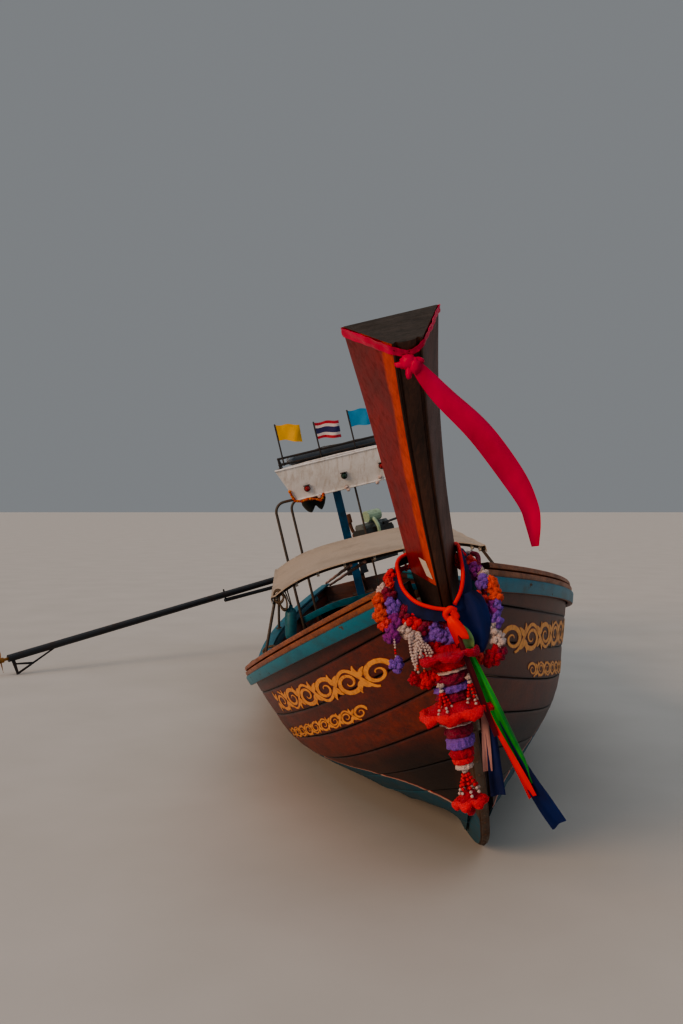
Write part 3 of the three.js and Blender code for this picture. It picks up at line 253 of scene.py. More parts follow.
class Work:
    """One piece on the bench: corners, faces, the finish of each face and any tints of the corners."""

    def __init__(self, name):
        self.name = name
        self.corners = []
        self.faces = []
        self.finish = []
        self.tints = {}

    def add(self, corners, faces, finish=0, **tints):
        first = len(self.corners)
        self.corners.extend(corners)
        self.faces.extend([tuple(first + i for i in face) for face in faces])
        self.finish.extend(finish if isinstance(finish, list) else [finish] * len(faces))
        for tint, values in tints.items():
            if not isinstance(values, list):
                values = [values] * len(corners)
            self.tints.setdefault(tint, {}).update({first + i: v for i, v in enumerate(values)})

    def grid(self, rows, finish=0, round_rows=False, round_columns=False, **tints):
        """Faces between rows of corners that all have the same count."""
        wide = len(rows[0])
        faces = []
        for r in range(len(rows) if round_rows else len(rows) - 1):
            below = r * wide
            above = (r + 1) % len(rows) * wide
            for c in range(wide if round_columns else wide - 1):
                after = (c + 1) % wide
                faces.append((below + c, below + after, above + after, above + c))
        flat = {}
        for tint, value in tints.items():
            by_row = isinstance(value, list) and isinstance(value[0], list)
            flat[tint] = [v for row in value for v in row] if by_row else value
        self.add([p for row in rows for p in row], faces, finish, **flat)

    def loft(self, rings, finish=0, **tints):
        """A closed solid through rings of corners, with its two end faces."""
        self.grid(rings, finish, round_columns=True, **tints)
        wide = len(rings[0])
        last = len(self.corners) - wide
        first = last - wide * (len(rings) - 1)
        self.faces.append(tuple(first + i for i in reversed(range(wide))))
        self.faces.append(tuple(last + i for i in range(wide)))
        self.finish.extend([0, 0] if isinstance(finish, list) else [finish, finish])

    def cloth(self, rows, thick, finish_of_row=lambda row: 0):
        """A thin closed sheet: the rows, the same rows again behind them by the vector thick, and a rim."""
        tall, wide = len(rows), len(rows[0])
        front = [Vector(p) for row in rows for p in row]
        gap = len(front)
        faces, finish = [], []
        for r in range(tall - 1):
            for c in range(wide - 1):
                near = (r * wide + c, r * wide + c + 1, (r + 1) * wide + c + 1, (r + 1) * wide + c)
                faces.extend([near, tuple(gap + i for i in reversed(near))])
                finish.extend([finish_of_row(r)] * 2)
        rim = list(range(wide)) + [r * wide + wide - 1 for r in range(1, tall)]
        rim += [(tall - 1) * wide + c for c in range(wide - 2, -1, -1)]
        rim += [r * wide for r in range(tall - 2, 0, -1)]
        for a, b in zip(rim, rim[1:] + rim[:1]):
            faces.append((b, a, a + gap, b + gap))
            finish.append(finish_of_row(min(a // wide, b // wide, tall - 2)))
        self.add(front + [p + thick for p in front], faces, finish)

    def bar(self, points, radius, sides=10, finish=0, closed=False, **tints):
        """A round bar along points; radius is one number or one for each point."""
        radii = radius if isinstance(radius, (list, tuple)) else [radius] * len(points)
        points = [Vector(p) for p in points]
        count = len(points)
        side = None
        rings = []
        for i, p in enumerate(points):
            ahead = points[(i + 1) % count] if closed or i + 1 < count else p
            behind = points[i - 1] if closed or i else p
            run = (ahead - behind).normalized()
            if side is None:
                side = run.orthogonal().normalized()
            side = (side - run * side.dot(run)).normalized()
            up = run.cross(side)
            ring = []
            for angle in once_round(sides):
                ring.append(p + side * (radii[i] * cos(angle)) + up * (radii[i] * sin(angle)))
            rings.append(ring)
        if closed:
            self.grid(rings, finish, round_rows=True, round_columns=True, **tints)
        else:
            self.loft(rings, finish, **tints)

    def rod(self, places, radius, **how):
        """A round bar along places aboard."""
        self.bar([aboard(*p) for p in places], radius, **how)

    def ball(self, centre, radius, rows=8, around=12, stretch=(1, 1, 1), lumps=0.0, rough=9.0, **tints):
        """A ball, drawn out by stretch; lumps swell and pinch it as yarn or fruit is."""
        centre = Vector(centre)
        rings = []
        for r in range(rows + 1):
            lift = pi * (r / rows - 0.5)
            lift = max(-1.5, min(1.5, lift))
            ring = []
            for turn in once_round(around):
                flat = cos(lift)
                out = Vector((flat * cos(turn), flat * sin(turn), sin(lift)))
                size = radius * (1 + lumps * noise.noise(centre * 31.0 + out * rough))
                ring.append(centre + Vector([size * o * more for o, more in zip(out, stretch)]))
            rings.append(ring)
        self.loft(rings, **tints)

    def knob(self, place, radius, **how):
        """A ball at a place aboard."""
        self.ball(aboard(*place), radius, **how)

    def box(self, low, high, bevel, finish=0):
        """A block between two places aboard, its edges chamfered by bevel."""
        (x0, y0, z0), (x1, y1, z1) = low, high
        rings = []
        for x, inset in ((x0, bevel), (x0 + bevel, 0), (x1 - bevel, 0), (x1, bevel)):
            ya, yb, za, zb = y0 + inset, y1 - inset, z0 + inset, z1 - inset
            rings.append([aboard(x, y, z) for y, z in (
                (ya + bevel, za), (yb - bevel, za), (yb, za + bevel), (yb, zb - bevel),
                (yb - bevel, zb), (ya + bevel, zb), (ya, zb - bevel), (ya, za + bevel))])
        self.loft(rings, finish)

    def done(self, finishes, slot, replaces=(), crease=35.0, join_within=0.0):
        mesh = bpy.data.meshes.new(self.name)
        mesh.from_pydata([tuple(p) for p in self.corners], [], self.faces)
        for finish in finishes:
            mesh.materials.append(finish.material)
        mesh.polygons.foreach_set("material_index", self.finish)
        for tint, values in self.tints.items():
            sample = next(iter(values.values()))
            if isinstance(sample, (int, float)):
                layer = mesh.attributes.new(tint, "FLOAT", "POINT")
                layer.data.foreach_set("value", [values.get(i, 0.0) for i in range(len(self.corners))])
            else:
                layer = mesh.attributes.new(tint, "FLOAT_COLOR", "POINT")
                flat = [c for i in range(len(self.corners)) for c in values.get(i, (0.5, 0.5, 0.5, 1.0))]
                layer.data.foreach_set("color", flat)
        face_out(mesh, join_within)
        mesh.polygons.foreach_set("use_smooth", [True] * len(mesh.polygons))
        mesh.set_sharp_from_angle(angle=radians(crease))
        piece = bpy.data.objects.new(self.name, mesh)
        bpy.context.scene.collection.objects.link(piece)
        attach(piece, "hull")
        if replaces:
            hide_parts(*replaces)
        return piece


def bend(a, b, c, d, t):
    """A value on the smooth curve through a, b, c and d, at the share t between b and c."""
    square, cube = 2 * a - 5 * b + 4 * c - d, 3 * b - a - 3 * c + d
    return 0.5 * (2 * b + (c - a) * t + square * t * t + cube * t ** 3)


def smooth_line(points, steps):
    """Points on one smooth curve through the given ones, steps to each stretch, with all their columns."""
    points = [tuple(p) for p in points]
    padded = [points[0]] + points + [points[-1]]
    line = []
    for i in range(1, len(padded) - 2):
        for k in range(steps):
            line.append(tuple(bend(*column, k / steps) for column in zip(*padded[i - 1:i + 3])))
    line.append(points[-1])
    return line


# Keel and stem: one long keel of hard dark timber, scarfed to the curved stem, with a flat iron band
# nailed down the stem's front. The keel wears the same blue bottom paint as the lowest planks.
timber, effect = new_group("timber", [
    ("Place", "Vector", None), ("Light", "Color", (0.4, 0.3, 0.2, 1)),
    ("Dark", "Color", (0.1, 0.06, 0.03, 1)), ("Grain", "Float", 9.0), ("Streaks", "Float", 0.5)],
    [("Color", "Color"), ("Height", "Float")])
wander = effect.pattern("Noise", effect.inputs["Place"], Scale=1.3, Detail=3.0)
fibre = effect.pattern("Noise", effect.inputs["Place"], Scale=effect.inputs["Grain"], Detail=8.0,
                       Roughness=0.65, Distortion=0.6)
streak = effect.between(fibre, 0.32, 0.68)
share = effect.maths("ADD", effect.maths("MULTIPLY", streak, effect.inputs["Streaks"]),
                     effect.maths("MULTIPLY", effect.between(wander, 0.35, 0.7), 0.45))
effect.feed(effect.mix(share, effect.inputs["Dark"], effect.inputs["Light"]), effect.results["Color"])
effect.feed(streak, effect.results["Height"])

grime, effect = new_group("grime", [
    ("Place", "Vector", None), ("Clean", "Color", (0.5, 0.5, 0.5, 1)),
    ("Dirt", "Color", (0.1, 0.09, 0.08, 1)), ("Size", "Float", 4.0), ("Amount", "Float", 0.4)],
    [("Color", "Color"), ("Mask", "Float")])
patch = effect.pattern("Noise", effect.inputs["Place"], Scale=effect.inputs["Size"], Detail=7.0,
                       Roughness=0.7)
mask = effect.maths("MULTIPLY", effect.between(patch, 0.48, 0.72), effect.inputs["Amount"], clamp=True)
effect.feed(effect.mix(mask, effect.inputs["Clean"], effect.inputs["Dirt"]), effect.results["Color"])
effect.feed(mask, effect.results["Mask"])


def timber_finish(name, light, dark, scale, grain=9.0, streaks=0.6, roughness=0.6, relief=0.0015, dirt=0.35,
                  coat=0.0, turn=(0, -HEEL, 0)):
    """Sawn and oiled or weathered timber; scale is small along the grain and large across it."""
    finish = Finish(name, Roughness=roughness, Coat_Weight=coat, Coat_Roughness=0.25)
    place = finish.place(scale, turn)
    wood = finish.group(timber, place, Light=light, Dark=dark, Grain=grain, Streaks=streaks)
    worn = finish.soil(wood["Color"], rgb(40, 34, 28), 5.0, dirt)
    finish.color(worn["Color"])
    finish.roughness(finish.between(worn["Mask"], 0.0, 0.6, roughness, min(1.0, roughness + 0.25)))
    finish.relief(wood["Height"], relief, 0.7)
    return finish


ALONG = (26, 2.2, 26)
bottom_paint = Finish("blue_bottom_paint", Roughness=0.7)
chalky = bottom_paint.soil(rgb(24, 84, 104), rgb(60, 74, 70), 6.0, 0.7, (1, 0.5, 1))
scuffed = bottom_paint.soil(chalky["Color"], rgb(94, 84, 70), 11.0, 0.5, (3, 1, 3))
bottom_paint.color(scuffed["Color"])
bottom_paint.relief(scuffed["Mask"], 0.002, 0.6)
stem_timber = timber_finish("stem_timber", rgb(104, 72, 50), rgb(44, 26, 18), (20, 8, 2.5), roughness=0.55)


def iron_finish(name, steel, rust, amount, roughness=0.5, size=9.0, bare=0.0):
    """Painted or bare metal with rust that creeps in patches."""
    finish = Finish(name, Roughness=roughness, Metallic=bare)
    spots = finish.soil(steel, rust, size, amount)
    finish.color(spots["Color"])
    finish.roughness(finish.between(spots["Mask"], 0.0, 0.5, roughness, 0.9))
    finish.relief(spots["Mask"], 0.0012, 0.5)
    return finish


stem_iron = iron_finish("stem_iron", rgb(88, 76, 66), rgb(98, 58, 36), 0.8)


def wear(nodes, finish):
    """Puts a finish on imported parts, which keep their own shape."""
    for name in nodes:
        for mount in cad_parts[name].material_slots:
            mount.material = finish.material


wear(["keel"], bottom_paint)

# Columns, as the stem is drawn from the side: forward of the foot, height, half width in front and
# behind, depth.
STEM_LINES = [
    (-0.250, 0.000, 0.045, 0.045, 0.098), (0.000, 0.006, 0.026, 0.045, 0.104),
    (0.240, 0.096, 0.023, 0.045, 0.112), (0.455, 0.262, 0.023, 0.045, 0.118),
    (0.655, 0.490, 0.024, 0.045, 0.124), (0.830, 0.780, 0.025, 0.048, 0.132),
    (0.955, 1.110, 0.026, 0.056, 0.148), (1.055, 1.430, 0.029, 0.098, 0.185),
    (1.190, 1.750, 0.037, 0.120, 0.225), (1.400, 2.050, 0.046, 0.150, 0.265),
    (1.634, 2.279, 0.055, 0.184, 0.300),
]
STEM_HEAD = 6


def stem_at(row):
    """Front edge, direction down into the timber, and half widths of the stem at a fraction of its rows."""
    row = max(0.0, min(len(STEM_LINES) - 1.0, row))
    k = min(int(row), len(STEM_LINES) - 2)
    rows = [STEM_LINES[max(0, min(len(STEM_LINES) - 1, k + d))] for d in (-1, 0, 1, 2)]
    t = row - k
    x, z, front, back, deep = [bend(*column, t) for column in zip(*rows)]
    run_x = 0.5 * ((rows[2][0] - rows[0][0]) * (1 - t) + (rows[3][0] - rows[1][0]) * t)
    run_z = 0.5 * ((rows[2][1] - rows[0][1]) * (1 - t) + (rows[3][1] - rows[1][1]) * t)
    length = hypot(run_x, run_z)
    return x, z, run_z / length, run_x / length, front, back, deep


def on_stem(row, across, deep_share, proud=0.0):
    """A place on the stem's section: across from -1 (port) to 1, deep_share 0 in front to 1 behind."""
    x, z, dx, dz, front, back, deep = stem_at(row)
    half = front + (back - front) * deep_share
    into = deep * deep_share - proud
    return aboard(-(x - dx * into), across * half, z + dz * into)


# Columns: station and height of the boot line, and how broad its white band is there.
BOOT_LINE = [
    (-0.45, 0.272, 0.026), (-0.37, 0.305, 0.024), (-0.28, 0.360, 0.020), (-0.05, 0.418, 0.012),
    (0.30, 0.425, 0.007), (0.70, 0.400, 0.006), (3.00, 0.350, 0.010), (8.50, 0.400, 0.010),
]


def below_boot_line(station, height):
    """How far a place lies below the boot line, counted in breadths of its white band."""
    stations, heights, breadths = zip(*BOOT_LINE)
    line, breadth = [float(np.interp(station, stations, column)) for column in (heights, breadths)]
    return (line - height) / breadth


stem = Work("stem_timber")
STEM_SECTION = [
    (-0.55, 0.0), (0.55, 0.0), (0.98, 0.05), (1, 0.12), (1, 1), (-1, 1), (-1, 0.12), (-0.98, 0.05)]
# The faces on the narrow front, which the iron band covers, are never painted.
FRONT_FACES = (0, 1, 7)
rings = []
finish_of_face = []
STEM_RINGS = 90
for i in range(STEM_RINGS + 1):
    row = STEM_HEAD * i / STEM_RINGS
    rings.append([on_stem(row, a, d) for a, d in STEM_SECTION])
    forward, height = stem_at(row)[:2]
    painted = below_boot_line(-forward, height) > 0
    if i < STEM_RINGS:
        finish_of_face.extend([int(painted and side not in FRONT_FACES) for side in range(len(STEM_SECTION))])
stem.loft(rings, finish_of_face)
stem.done([stem_timber, bottom_paint], slot="dark_timber", replaces=["stem"], crease=30)

band = Work("stem_iron_band")
# The band runs over these rows of the stem, with bolt heads down its middle.
BAND_FROM, BAND_LONG, BAND_RINGS, BOLT_GAPS = 1, 4, 48, 16
BAND_HALF = 0.017
# Columns: across from -1 to 1, how proud of the timber.
BAND_SECTION = [(-1, 0.0004), (1, 0.0004), (0.95, 0.0040), (0.7, 0.0054), (-0.7, 0.0054), (-0.95, 0.0040)]
BOLT_PROUD = 0.0052
rings = []
for i in range(BAND_RINGS + 1):
    row = BAND_FROM + BAND_LONG * i / BAND_RINGS
    front = stem_at(row)[4]
    share = min(BAND_HALF, front - 0.004) / front
    rings.append([on_stem(row, a * share, 0, proud) for a, proud in BAND_SECTION])
band.loft(rings)
for i in range(1, BOLT_GAPS):
    x, z, dx, dz = stem_at(BAND_FROM + BAND_LONG * i / BOLT_GAPS)[:4]
    band.knob((-(x + dx * BOLT_PROUD), 0, z - dz * BOLT_PROUD), 0.0062, rows=6, around=10,
              stretch=(1, 0.7, 1))
band.done([stem_iron], slot="stem_iron", replaces=["stem_band"])


# Planking: nine carvel planks a side of varnished red-brown hardwood, edge to edge on the ribs, their
# seams caulked and a little sunk. The lowest three carry the blue bottom paint under a white and red line.
# Columns of each seam: s, b and z at the bow; greatest half breadth, its station, the bow's fullness;
# least height, the station where the line levels out, how fast it drops there; s, b and z at the transom.
SEAM_LINES = [
    (0.090, 0.054, 0.048, 0.052, 2.800, 2.00, 0.045, 0.900, 2.00, 8.270, 0.054, 0.048),
    (-0.380, 0.062, 0.290, 0.700, 3.000, 2.10, 0.159, 2.200, 2.00, 8.300, 0.330, 0.270),
    (-0.640, 0.068, 0.590, 0.975, 3.000, 2.30, 0.325, 2.800, 1.80, 8.360, 0.415, 0.420),
    (-0.830, 0.078, 1.010, 1.076, 2.900, 2.30, 0.500, 3.300, 1.65, 8.430, 0.465, 0.590),
    (-0.950, 0.134, 1.480, 1.160, 2.800, 2.35, 0.685, 3.760, 1.57, 8.520, 0.490, 0.780),
]
STERN_TAPER_FROM = 3.8
PLANK_THICK = 0.022


@functools.lru_cache(maxsize=None)
def seam_at(line, t):
    s0, b0, z0, wide, at, full, low, level, drop, s1, b1, z1 = line
    s = s0 + (s1 - s0) * t
    bow = min(1.0, (s - s0) / (at - s0))
    stern = max(0.0, (s - STERN_TAPER_FROM) / (s1 - STERN_TAPER_FROM))
    settle = min(1.0, (s - s0) / (level - s0))
    b = b0 + (wide - b0) * (1 - (1 - bow) ** full) - (wide - b1) * stern ** 2
    z = low + (z0 - low) * (1 - settle) ** drop + (z1 - low) * stern ** 2
    return np.array((s, b, z))


def skin(t, v):
    """The hull's outer skin in boat directions: t from bow to transom, v counts seams up from the keel."""
    rows = [seam_at(line, t) for line in SEAM_LINES]
    if v <= 1:
        return rows[0] + (rows[1] - rows[0]) * v
    k = min(int(v), len(rows) - 2)
    below = rows[k - 1] if k > 1 else 2 * rows[k] - rows[k + 1]
    above = rows[k + 2] if k + 2 < len(rows) else 2 * rows[k + 1] - rows[k]
    return bend(below, rows[k], rows[k + 1], above, v - k)


TOP = len(SEAM_LINES) - 1


def skin_inward(t, v):
    along = skin(min(1, t + 0.004), v) - skin(max(0, t - 0.004), v)
    up = skin(t, min(TOP, v + 0.02)) - skin(t, max(0, v - 0.02))
    normal = np.cross(along, up)
    return normal / np.linalg.norm(normal)


def in_plank(t, v, deep):
    """A place deep under the skin, kept outside the keel."""
    p = skin(t, v) + skin_inward(t, v) * deep
    p[1] = max(p[1], 0.046)
    return p


STARBOARD, PORT = BOTH_SIDES = 1, -1
SIDE_NAMES = {STARBOARD: "starboard", PORT: "port"}


def to_side(p, hand):
    return aboard(p[0], p[1] * hand, p[2])


# Painted shade darkens the low planks beside the stem, where they lie in shadow, and the planks' ends there
# are lighter; below the boot line, a white band under a thin red one, comes the blue bottom paint.
varnish = Finish("varnished_planks", Roughness=0.46, Specular_IOR_Level=0.32, Coat_Weight=0.10,
                          Coat_Roughness=0.22)
place = varnish.place((14, 1.0, 14), (0, -HEEL, 0))
tone, seam_near, below_line, sea_dark, light_end = [
    varnish.tint(name) for name in ("tone", "seam_near", "below_line", "sea_dark", "light_end")]
wood = varnish.group(timber, place, Light=rgb(136, 45, 15), Dark=rgb(62, 17, 7), Grain=5.0, Streaks=0.6)
toned = varnish.mix(varnish.between(tone, 0, 1, 0.0, 0.72), wood["Color"], rgb(58, 20, 10))
patchy = varnish.soil(toned, rgb(38, 15, 9), 2.6, 0.8, (1, 0.6, 1))
ends = varnish.mix(varnish.between(light_end, 0.3, 0.8), patchy["Color"], rgb(150, 62, 22))
# Painted shade on the low planks beside the stem.
shaded_low_bow = varnish.mix(varnish.between(sea_dark, 0, 1, 0, 0.94), ends, rgb(16, 9, 8))
caulked = varnish.mix(varnish.between(seam_near, 0.55, 1.0), shaded_low_bow, rgb(14, 8, 6))
soiled = varnish.soil(caulked, rgb(104, 62, 34), 3.0, 0.22, (1.5, 0.8, 3))
uneven = varnish.pattern("Noise", varnish.place((1, 0.4, 1)), Scale=9.0)
line_edge = varnish.maths("ADD", below_line, varnish.between(uneven, 0.3, 0.7, -0.08, 0.08))
red_line = varnish.mix(varnish.between(line_edge, -0.42, -0.36), soiled["Color"], rgb(150, 30, 22))
white_line = varnish.mix(varnish.between(line_edge, -0.03, 0.03), red_line, rgb(184, 146, 132))
bottom = varnish.soil(rgb(14, 78, 98), rgb(36, 58, 64), 6.0, 0.7, (1, 0.5, 1))
sanded = varnish.soil(bottom["Color"], rgb(96, 84, 68), 9.0, 0.4, (2, 1, 3))
varnish.color(varnish.mix(varnish.between(line_edge, 0.97, 1.03), white_line, sanded["Color"]))
varnish.roughness(varnish.between(below_line, -0.42, -0.36, 0.46, 0.7))
scratch = varnish.maths("SUBTRACT", varnish.maths("MULTIPLY", wood["Height"], 0.35), seam_near)
varnish.relief(scratch, 0.0018, 0.8)

PLANKS_A_SIDE = 9
STATIONS = 132
GIRTH_STEPS = 80


@functools.lru_cache(maxsize=None)
def girth(t):
    """Levels from the sheer down to the keel's rabbet and the length of the skin down to each."""
    levels = [TOP * (1 - i / GIRTH_STEPS) for i in range(GIRTH_STEPS)] + [0.012]
    points = [skin(t, v) for v in levels]
    run = [0.0]
    for a, b in zip(points, points[1:]):
        run.append(run[-1] + float(np.linalg.norm(b - a)))
    return levels, run


def level_at(t, down):
    levels, run = girth(t)
    return float(np.interp(down, run, levels))


def seam_down(k, t):
    """How far below the sheer seam k runs: in even shares of the girth, the upper planks finer at the bow."""
    share = k / PLANKS_A_SIDE
    at_bow = (1 - min(1.0, t / 0.15)) ** 2
    return girth(t)[1][-1] * share * (1 - 0.33 * (1 - share) * at_bow)


def fade(value, start, end):
    """0 up to start, 1 from end on and smooth between."""
    share = max(0.0, min(1.0, (value - start) / (end - start)))
    return share * share * (3 - 2 * share)


# Tones of the planks from the sheer down, 0 light and 1 dark.
PLANK_TONES = [0.80, 0.45, 0.55, 0.15, 0.50, 0.65, 0.50, 0.60, 0.55]
# Painted shade: the port side, turned away from the light, is painted darker.
PAINTED_SHADE_OF_SIDE = {STARBOARD: 0.0, PORT: 0.60}
# Columns: share of the plank's width, depth under the skin, nearness to a seam.
PLANK_SECTION = [
    (0, 0.005, 1), (0.03, 0.0008, 0.8), (0.09, 0, 0.25), (0.5, 0, 0), (0.91, 0, 0.25), (0.97, 0.0008, 0.8),
    (1, 0.005, 1), (1, PLANK_THICK, 1), (0.5, PLANK_THICK, 0), (0, PLANK_THICK, 1),
]
PLANK_GROUPS = [("topside", 0, 6, "varnished_planks", ("sheer_strake", "side_strake", "bilge_strake")),
                ("bottom", 6, 9, "bottom_paint", ("garboard",))]
HALF_SEAM = 0.0012
# The inner faces count as far above the boot line, so they stay bare timber.
INSIDE_BARE = -20.0
for name, first, last, slot, strakes in PLANK_GROUPS:
    for hand in BOTH_SIDES:
        planks = Work(f"{name}_planks_{SIDE_NAMES[hand]}")
        for k in range(first, last):
            columns = [[], [], [], [], []]
            for i in range(STATIONS + 1):
                t = (i / STATIONS) ** 1.4
                high = seam_down(k, t) + HALF_SEAM
                low = seam_down(k + 1, t) - HALF_SEAM
                corners = []
                for share, deep, close in PLANK_SECTION:
                    down = high + (low - high) * share
                    v = level_at(t, down)
                    p = in_plank(t, v, deep)
                    from_end = float(np.linalg.norm(p - in_plank(0, v, deep)))
                    line = below_boot_line(p[0], p[2]) if deep < PLANK_THICK else INSIDE_BARE
                    # Painted shade: strongest low down at the bow, fading out aft.
                    dark = fade(down, 0.66, 0.84) * (1 - fade(p[0], -0.35, 0.95))
                    end = (1 - fade(from_end, 0.045, 0.065)) * fade(down, 0.72, 0.80)
                    corners.append((to_side(p, hand), close, line, dark, end))
                for rows, row in zip(columns, zip(*corners)):
                    rows.append(list(row))
            rings, seam_near, below_line, sea_dark, light_end = columns
            # Each plank carries its own tone, and to port painted shade as well.
            planks.loft(rings, 0, tone=PLANK_TONES[k] + PAINTED_SHADE_OF_SIDE[hand], seam_near=seam_near,
                        below_line=below_line, sea_dark=sea_dark, light_end=light_end)
        planks.done([varnish], slot=slot, replaces=[f"{strake}_{SIDE_NAMES[hand]}" for strake in strakes],
                    crease=50)


# Rails: an oiled cap rail flat on the sheer, a teal-painted rub rail outside it and an inwale of the same
# teal inside, each one long timber sprung round the hull and rounded along its edges.
def sheer_at(t, down, out, flat):
    """A place near the sheer: down the topmost plank and out square to it, or level where flat is set."""
    top = skin(t, TOP)
    fall = skin(t, TOP - 0.45) - top
    inward = skin_inward(t, TOP)
    if flat:
        fall = np.array((0.0, 0.0, -1.0))
        inward = np.array((inward[0], inward[1], 0.0))
    return top + fall / np.linalg.norm(fall) * down - inward / np.linalg.norm(inward) * out


cap_top = timber_finish("cap_rail_top_timber", rgb(92, 62, 48), rgb(44, 30, 24), (26, 1.6, 26), grain=6.0,
                        streaks=0.7, roughness=0.55, dirt=0.7)
# The lighter oiled rail finish; on the cap rail's outer edge it is partly a painted highlight.
rail_varnish_and_edge_light = timber_finish("cap_rail_timber_and_edge_light", rgb(170, 96, 48), rgb(88, 42, 20), (26, 1.6, 26), grain=6.0,
                             streaks=0.7, roughness=0.45, dirt=0.55, coat=0.15)
teal = Finish("teal_rail_paint", Roughness=0.5, Specular_IOR_Level=0.35)
bare = teal.group(timber, teal.place(ALONG, (0, -HEEL, 0)), Light=rgb(122, 98, 76), Dark=rgb(60, 44, 32))
faded = teal.soil(rgb(8, 112, 134), rgb(8, 78, 100), 3.0, 0.9, (2, 0.5, 2))
chipped = teal.between(teal.pattern("Noise", teal.place((1, 0.45, 1)), Scale=26.0, Detail=5.0), 0.66, 0.70)
stained = teal.soil(faded["Color"], rgb(46, 60, 56), 7.0, 0.5, (1.5, 0.7, 1.5))
teal.color(teal.mix(chipped, stained["Color"], bare["Color"]))
teal.roughness(teal.between(chipped, 0, 1, 0.40, 0.8))
teal.relief(teal.maths("SUBTRACT", teal.maths("MULTIPLY", bare["Height"], 0.25), chipped), 0.0012, 0.7)

# Columns: name, top and bottom below the sheer, outer and inner edge outside it, first and last station
# (of RAIL_STATIONS between bow and transom), laid flat or along the plank, rounding of its edges, finish
# of its faces, finish of its edge, which faces of the section that edge takes, slot.
RAIL_STATIONS, RAIL_RINGS = 20, 120
RAIL_LINES = [
    ("cap_rail", -0.027, -0.001, 0.022, -0.088, 1, 20, True, 0.006, cap_top, rail_varnish_and_edge_light, range(0, 7),
     "rail_timber"),
    ("rub_rail", 0.030, 0.102, 0.042, 0.005, 0, 20, False, 0.010, teal, rail_varnish_and_edge_light, range(4, 7),
     "rail_paint"),
    ("inwale", 0.036, 0.096, -0.027, -0.060, 4, 19, False, 0.007, teal, teal, range(4, 7), "rail_paint"),
]
# How the rounded corner leaves one face and meets the next, as shares of the rounding.
CORNER_BEND = [(1, 0), (0.3, 0.3), (0, 1)]


def eased(corners, ease):
    """An outline of two opposite pairs of straight sides with each corner rounded."""
    outline = []
    for i, (x, y) in enumerate(corners):
        back_x, back_y = corners[i - 1]
        next_x, next_y = corners[(i + 1) % len(corners)]
        back = ease / hypot(back_x - x, back_y - y)
        ahead = ease / hypot(next_x - x, next_y - y)
        for to_back, to_next in CORNER_BEND:
            outline.append((x + (back_x - x) * back * to_back + (next_x - x) * ahead * to_next,
                            y + (back_y - y) * back * to_back + (next_y - y) * ahead * to_next))
    return outline


# The cap rail is bare as far as the front canopy and painted teal from this ring on.
AFT_PAINT = 66
for name, top, low, out, inn, first, last, flat, ease, finish, under, edge, slot in RAIL_LINES:
    section = eased([(top, out), (low, out), (low, inn), (top, inn)], ease)
    painted_from = AFT_PAINT if name == "cap_rail" else RAIL_RINGS
    for hand in BOTH_SIDES:
        rail = Work(f"{name}_{SIDE_NAMES[hand]}_timber")
        rings = []
        of_face = []
        for i in range(RAIL_RINGS + 1):
            t = ((first + (last - first) * i / RAIL_RINGS) / RAIL_STATIONS) ** 1.4
            rings.append([to_side(sheer_at(t, down, along, flat), hand) for down, along in section])
        for i in range(RAIL_RINGS):
            # On the cap rail the outer edge takes the lighter oiled finish: partly the timber's own colour,
            # partly a painted highlight where light catches that edge.
            of_face.extend([2 if i >= painted_from else int(side in edge) for side in range(len(section))])
        rail.loft(rings, of_face)
        rail.done([finish, under, teal], slot=slot, replaces=[f"{name}_{SIDE_NAMES[hand]}"], crease=40)

# A thin facing strip closes the joint between the cap and the rub rail.
facing_section = eased([(0.001, 0.029), (0.031, 0.029), (0.031, 0.0015), (0.001, 0.0015)], 0.004)
for hand in BOTH_SIDES:
    facing = Work(f"cap_facing_{SIDE_NAMES[hand]}")
    rings = []
    for i in range(RAIL_RINGS + 1):
        t = (0.03 + 0.97 * i / RAIL_RINGS) ** 1.4
        rings.append([to_side(sheer_at(t, down, along, False), hand) for down, along in facing_section])
    facing.loft(rings)
    facing.done([rail_varnish_and_edge_light], slot="rail_timber", crease=40)


# Inside: ribs, keelson, floorboards, thwarts, foredeck and stern deck of grey-brown timber worn by feet
# and salt, let in between the planks. They keep the shapes that the shipwright's drawing gives them.
# Columns: light and dark of the timber, scale of its grain, roughness, dirt, oil on it, parts.
INSIDE_TIMBERS = [
    ("rib_timber", rgb(98, 66, 44), rgb(44, 28, 20), (10, 14, 10), 0.75, 0.6, 0, ["frames", "engine_bed"]),
    ("deck_timber", rgb(138, 122, 104), rgb(78, 66, 54), (26, 2.2, 26), 0.85, 0.7, 0,
     ["floorboards", "foredeck", "stern_deck"]),
    ("thwart_timber", rgb(132, 112, 92), rgb(72, 56, 44), (2.2, 26, 26), 0.8, 0.6, 0,
     ["thwart_1", "thwart_2", "thwart_3", "thwart_4", "thwart_5"]),
    ("transom_timber", rgb(112, 56, 30), rgb(48, 22, 14), (2.0, 26, 20), 0.4, 0.4, 0.3, ["transom"]),
]
for name, light, dark, scale, roughness, dirt, coat, parts in INSIDE_TIMBERS:
    wear(parts, timber_finish(name, light, dark, scale, roughness=roughness, dirt=dirt, coat=coat))


